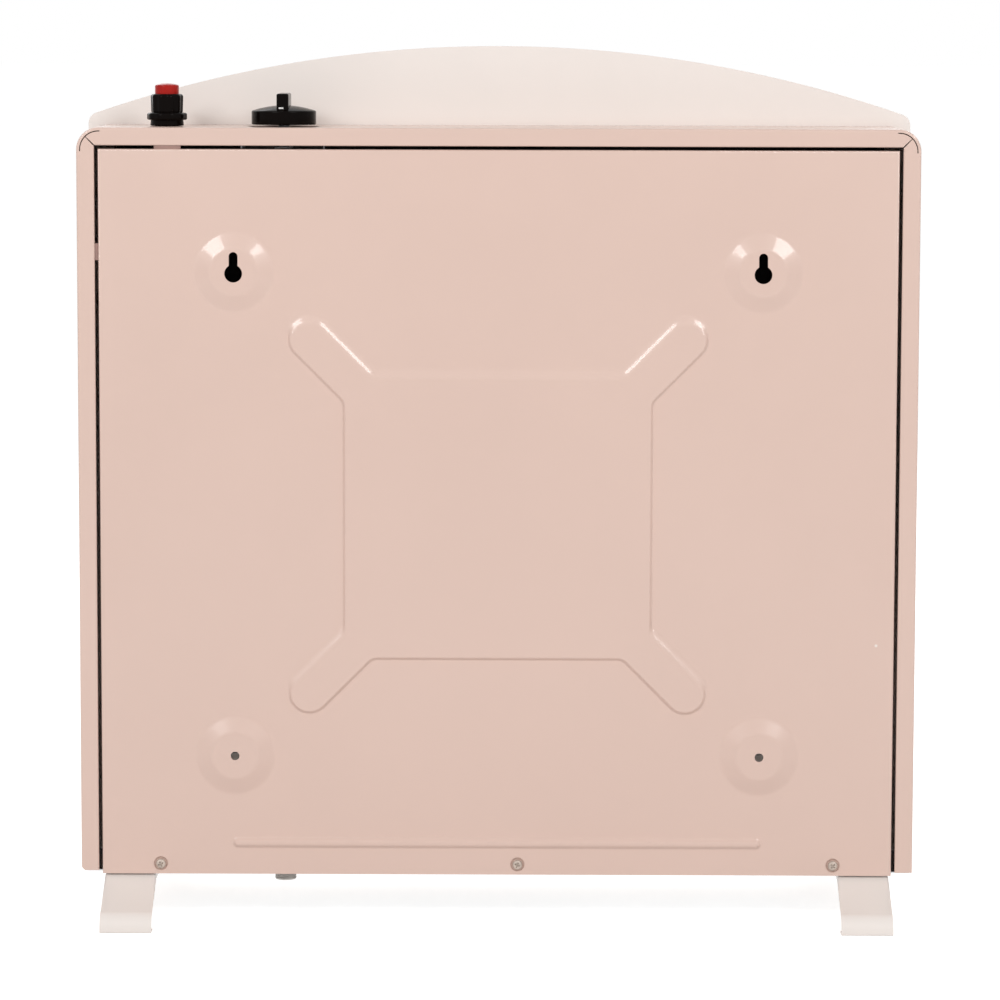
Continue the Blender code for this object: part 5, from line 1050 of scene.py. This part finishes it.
def make_screw_template():
    """Pan-head screw with a cross recess, its axis upright and its origin under the head."""
    profile = [(SCREW_HEAD_RADIUS * across, SCREW_HEAD_HEIGHT * up, bend) for across, up, bend in HEAD_CURVE]
    profile += [(SCREW_SHANK_RADIUS, 0, 0), (SCREW_SHANK_RADIUS, -SCREW_LENGTH, 0), (0, -SCREW_LENGTH, 0)]
    head = lathe("screw_template", rounded(profile, 3), (0, 0, 0), sides=40)
    floor = SCREW_HEAD_HEIGHT * CROSS_FLOOR
    slots = []
    for along, across in ((CROSS_REACH, CROSS_WIDTH / 2), (CROSS_WIDTH / 2, CROSS_REACH)):
        slots.append(box("cross", (-along, -across, floor), (along, across, SCREW_HEAD_HEIGHT + OVERRUN)))
    middle = CROSS_WIDTH * CROSS_MIDDLE
    centre = [(0, OVERRUN), (middle, OVERRUN), (middle, floor), (0, SCREW_HEAD_HEIGHT * CROSS_TIP)]
    slots.append(lathe("cross_middle", centre, (0, 0, 0), sides=16))
    return cut(head, slots)


def place_screw(finish, template, node, matrix):
    """Copy of the screw, in place of a CAD node."""
    screw = link(node + "_formed", template.data.copy())
    screw.data.transform(matrix)
    settle(screw, finish, [node])


def make_panel_screws(template):
    """The three screws along the back panel's lower edge."""
    for index, (x, angle) in enumerate(PANEL_SCREWS):
        where = Matrix.Translation((x, CASE_REAR + GAP, PANEL_SCREW_HEIGHT))
        turn = Matrix.Rotation(radians(angle), 4, "Z")
        matrix = where @ Matrix.Rotation(-pi / 2, 4, "X") @ turn
        place_screw("dull_zinc", template, f"panel_screw_{index + 1}", matrix)


def make_knob():
    """Round knob with a domed top, a grip blade and a small white dash on the blade's end."""
    crown = []
    for index in range(KNOB_CROWN_STEPS):
        share = index / KNOB_CROWN_STEPS
        crown.append(((KNOB_RADIUS - KNOB_CROWN_INSET) * share, KNOB_RIM + KNOB_DOME * (1 - share ** 2), 0))
    inner = KNOB_RADIUS - KNOB_WALL
    side = [(KNOB_RADIUS, KNOB_RIM - KNOB_RIM_DROP, KNOB_RIM_RADIUS), (KNOB_RADIUS, 0, KNOB_SKIRT_RADIUS),
            (inner, 0, 0), (inner, KNOB_HOLLOW, 0), (KNOB_BORE_RADIUS, KNOB_HOLLOW, 0),
            (KNOB_BORE_RADIUS, KNOB_RIM, 0), (0, KNOB_RIM, 0)]
    place = (KNOB_X, CONTROL_Y, KNOB_BASE)
    disc = lathe("disc", rounded(crown + side, 5), place, sides=96)
    half_width = BLADE_WIDTH / 2
    half_length = BLADE_LENGTH / 2
    low = (KNOB_X - half_width, CONTROL_Y - half_length, KNOB_BASE + KNOB_RIM * BLADE_SINK)
    high = (KNOB_X + half_width, CONTROL_Y + half_length, KNOB_BASE + BLADE_TOP)
    blade = box("blade", low, high, BLADE_EDGE, 5)
    settle(merge("knob_formed", [disc, blade]), "black_plastic", ["gas_knob"], "knob")
    mark_x = KNOB_X + MARK_OFFSET
    mark_y = CONTROL_Y + half_length
    mark_z = KNOB_BASE + MARK_LIFT
    mark = box("knob_mark", (mark_x - MARK_WIDTH / 2, mark_y - MARK_SINK, mark_z),
               (mark_x + MARK_WIDTH / 2, mark_y + MARK_PROUD, mark_z + MARK_HEIGHT), MARK_PROUD, 2)
    settle(mark, "mark_white", [], "knob")


def make_igniter():
    """Fluted collar with its ring nut, and the red button."""
    place = (IGNITER_X, CONTROL_Y, 0)

    def ripple(radius, height, angle):
        """Flutes that fade toward the bore, and the nut's shallower ones."""
        if height > COLLAR_SLEEVE and radius > NECK_BORE + BORE_MARGIN:
            fade = min(1.0, (radius - NECK_BORE) / (SLEEVE_RADIUS - NECK_BORE))
            return radius * (1 - SLEEVE_LOBE_DEPTH * fade * (0.5 - 0.5 * cos(LOBES * angle)))
        if COLLAR_RING <= height <= COLLAR_SLEEVE and radius > SLEEVE_RADIUS + GAP:
            return radius * (1 - RING_LOBE_DEPTH * (0.5 - 0.5 * cos(LOBES * angle)))
        return radius

    profile = [(BUTTON_BORE, COLLAR_TOP, 0), (BUTTON_BORE + LIP_WIDTH, COLLAR_TOP, 0),
               (SLEEVE_RADIUS * SLEEVE_FLARE, COLLAR_TOP, 0.0022),
               (SLEEVE_RADIUS, COLLAR_SLEEVE + 0.0012, 0.0004),
               (SLEEVE_RADIUS - LIP_WIDTH, COLLAR_SLEEVE + LIP_WIDTH, 0.0002),
               (RING_RADIUS, COLLAR_SLEEVE, 0.0016), (RING_RADIUS, COLLAR_RING, 0.0012),
               (FOOT_RADIUS - LIP_WIDTH, COLLAR_RING, 0.0003), (FOOT_RADIUS, COLLAR_FOOT, 0.0006),
               (NECK_BORE, COLLAR_FOOT, 0), (NECK_BORE, COLLAR_SEAT, 0), (BUTTON_BORE, COLLAR_SEAT, 0)]
    collar = lathe("igniter_collar_formed", rounded(profile, 5), place, ring=True, ripple=ripple, sides=160)
    settle(collar, "black_plastic", ["igniter_collar"])

    cap = [(0, BUTTON_TOP, 0)]
    cap += [(BUTTON_RADIUS * share, BUTTON_TOP - drop, bend) for share, drop, bend in BUTTON_CROWN]
    cap += [(BUTTON_RADIUS, BUTTON_SKIRT, 0.0004), (ROD_RADIUS, BUTTON_SKIRT, 0),
            (ROD_RADIUS, ROD_BOTTOM, 0), (0, ROD_BOTTOM, 0)]
    button = lathe("igniter_button_formed", rounded(cap, 6), place)
    settle(button, "red_plastic", ["igniter_button"], "button")


def make_springs():
    """Coil springs that stand on the case at one end and reach up to the body that presses them, in place of
    their CAD nodes.
    """
    for name, body, x, radius, bottom, top, curls in SPRINGS:
        low = bottom + SPRING_CLEARANCE + SPRING_WIRE_RADIUS
        rise = top - bottom - 2 * (SPRING_CLEARANCE + SPRING_WIRE_RADIUS)
        steps = curls * SPRING_STEPS
        points = []
        for step in range(steps + 1):
            angle = 2 * pi * curls * step / steps
            points.append((x + radius * cos(angle), CONTROL_Y + radius * sin(angle),
                           low + rise * step / steps))
        spring = wire(f"{name}_formed", points, SPRING_WIRE_RADIUS)
        spring.data.shade_smooth()
        spring.data.materials.clear()
        spring.data.materials.append(FINISHES["zinc_plate"])
        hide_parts(name)
        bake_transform(spring)


def make_inlet():
    """Inlet fitting with an outer thread below the case."""
    profile = [(0, INLET_TOP), (INLET_RADIUS, INLET_TOP), (INLET_RADIUS, INLET_FLANGE_HIGH),
               (INLET_FLANGE_RADIUS, INLET_FLANGE_HIGH), (INLET_FLANGE_RADIUS, INLET_FLANGE_LOW),
               (INLET_RADIUS, INLET_FLANGE_LOW), (INLET_RADIUS, THREAD_TOP)]
    height = THREAD_TOP
    for _ in range(int((THREAD_TOP - INLET_BOTTOM) / THREAD_PITCH)):
        profile.append((INLET_RADIUS - THREAD_DEPTH, height - THREAD_PITCH * 0.5))
        profile.append((INLET_RADIUS, height - THREAD_PITCH))
        height -= THREAD_PITCH
    profile += [(INLET_RADIUS - THREAD_DEPTH, INLET_BOTTOM), (INLET_BORE, INLET_BOTTOM),
                (INLET_BORE, INLET_BORE_TOP), (0, INLET_BORE_TOP)]
    inlet = lathe("gas_inlet_formed", profile, (KNOB_X, CONTROL_Y, 0))
    settle(inlet, "cast_alloy", ["gas_inlet"])


def finish_cad_nodes():
    """Give every CAD node that still shows its procedural finish."""
    starts = {"zinc_plate": ("base_plate", "manifold_bracket", "pilot_bracket", "valve_bracket"),
              "bright_steel": ("burner_plate", "reflector"), "burner_iron": ("burner_",),
              "dark_steel": ("gas_manifold", "supply_pipe", "valve_stem"), "tile_ceramic": ("tile_",),
              # The heat shield's near-black finish is painted shade for the dark inside
              "cast_alloy": ("gas_regulator", "gas_valve"), "sooty_zinc": ("heat_shield",),
              "copper": ("burner_tube", "pilot_tube", "thermocouple"), "red_rubber": ("ignition_lead",),
              "brass": ("injector", "pilot_burner", "valve_nut", "valve_plunger"),
              "black_plastic": ("igniter_body",), "white_ceramic": ("spark_electrode",)}
    finish_of = {start: finish for finish, names in starts.items() for start in names}
    for name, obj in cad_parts.items():
        if obj.hide_render:
            continue
        key = max((start for start in finish_of if name.startswith(start)), key=len)
        for place in obj.material_slots:
            place.material = FINISHES[finish_of[key]]


def aimed(place, roll):
    """Matrix that looks from a place at the heater, turned about the line of sight."""
    look = (Vector(CAMERA_TARGET) - Vector(place)).to_track_quat("-Z", "Y").to_matrix().to_4x4()
    return Matrix.Translation(place) @ look @ Matrix.Rotation(roll, 4, "Z")


def add_camera():
    """Camera at the photograph's place, behind the heater."""
    data = bpy.data.cameras.new("camera")
    data.lens = CAMERA_LENS
    data.sensor_width = SENSOR_WIDTH
    data.clip_end = VIEW_END
    camera = link("camera", data)
    camera.matrix_world = aimed(CAMERA_PLACE, CAMERA_ROLL)
    bpy.context.scene.camera = camera


def seen_directly(tree):
    """Factor that is 1 for camera, glossy and transmission rays."""
    rays = tree_node(tree, "LightPath").outputs
    either = calculated(tree, "MAXIMUM", rays["Is Camera Ray"], rays["Is Glossy Ray"])
    return calculated(tree, "MAXIMUM", either, rays["Is Transmission Ray"])


def add_world():
    """White to the eye and in reflections, and a plain grey light on the object."""
    world = bpy.data.worlds.new("studio")
    bpy.context.scene.world = world
    world.use_nodes = True
    tree = world.node_tree
    light = tree.nodes["Background"]
    fit(tree, light, {"Color": grey(1), "Strength": AMBIENT})
    seen = tree_node(tree, "Background", {"Color": grey(1), "Strength": 1.0})
    blend = tree_node(tree, "MixShader", {0: seen_directly(tree), 1: light.outputs["Background"],
                                                    2: seen.outputs["Background"]})
    fit(tree, tree.nodes["World Output"], {"Surface": blend.outputs["Shader"]})


def add_floor():
    """Pale floor that is white to the eye and keeps the heater's shadow."""
    half = FLOOR_SIZE / 2
    mesh = bpy.data.meshes.new("floor")
    mesh.from_pydata([(x, y, 0) for x, y in rectangle(-half, -half, half, half)], [], [(0, 1, 2, 3)])
    floor = link("floor", mesh)
    material, tree, shader = new_material("floor")
    fit(tree, shader, {"Base Color": FLOOR_COLOUR, "Roughness": 1.0, "Specular IOR Level": 0.0})
    strength = calculated(tree, "MULTIPLY", seen_directly(tree), FLOOR_GLOW)
    glow = tree_node(tree, "Emission", {"Color": grey(1), "Strength": strength})
    both = tree_node(tree, "AddShader", {0: shader.outputs["BSDF"], 1: glow.outputs["Emission"]})
    fit(tree, tree.nodes["Material Output"], {"Surface": both.outputs["Shader"]})
    mesh.materials.append(material)


def add_lights():
    """Two soft boxes behind the camera's shoulders, and two weaker ones for the heater's front."""
    for index, place in enumerate(SOFTBOX_PLACES):
        data = bpy.data.lights.new(f"softbox_{index}", "AREA")
        data.shape = "RECTANGLE"
        data.energy, data.size, data.size_y = REAR_SOFTBOX if place[1] > 0 else FRONT_SOFTBOX
        lamp = link(data.name, data)
        lamp.matrix_world = aimed(place, copysign(SOFTBOX_TURN, place[0]))


bpy.context.scene.view_settings.view_transform = "Standard"
add_camera()
add_world()
add_floor()
add_lights()
FINISHES = make_finishes()
make_back_panel()
make_casing()
make_front_panel()
make_surround()
make_louvre("outlet_louvre", OUTLET_LOW, OUTLET_HIGH)
make_louvre("intake_louvre", INTAKE_LOW, INTAKE_HIGH)
make_guard()
screw_shape = make_screw_template()
make_panel_screws(screw_shape)
make_foot("foot_right", 1, screw_shape)
make_foot("foot_left", -1, screw_shape)
bpy.data.objects.remove(screw_shape, do_unlink=True)
make_knob()
make_igniter()
make_springs()
make_inlet()
finish_cad_nodes()
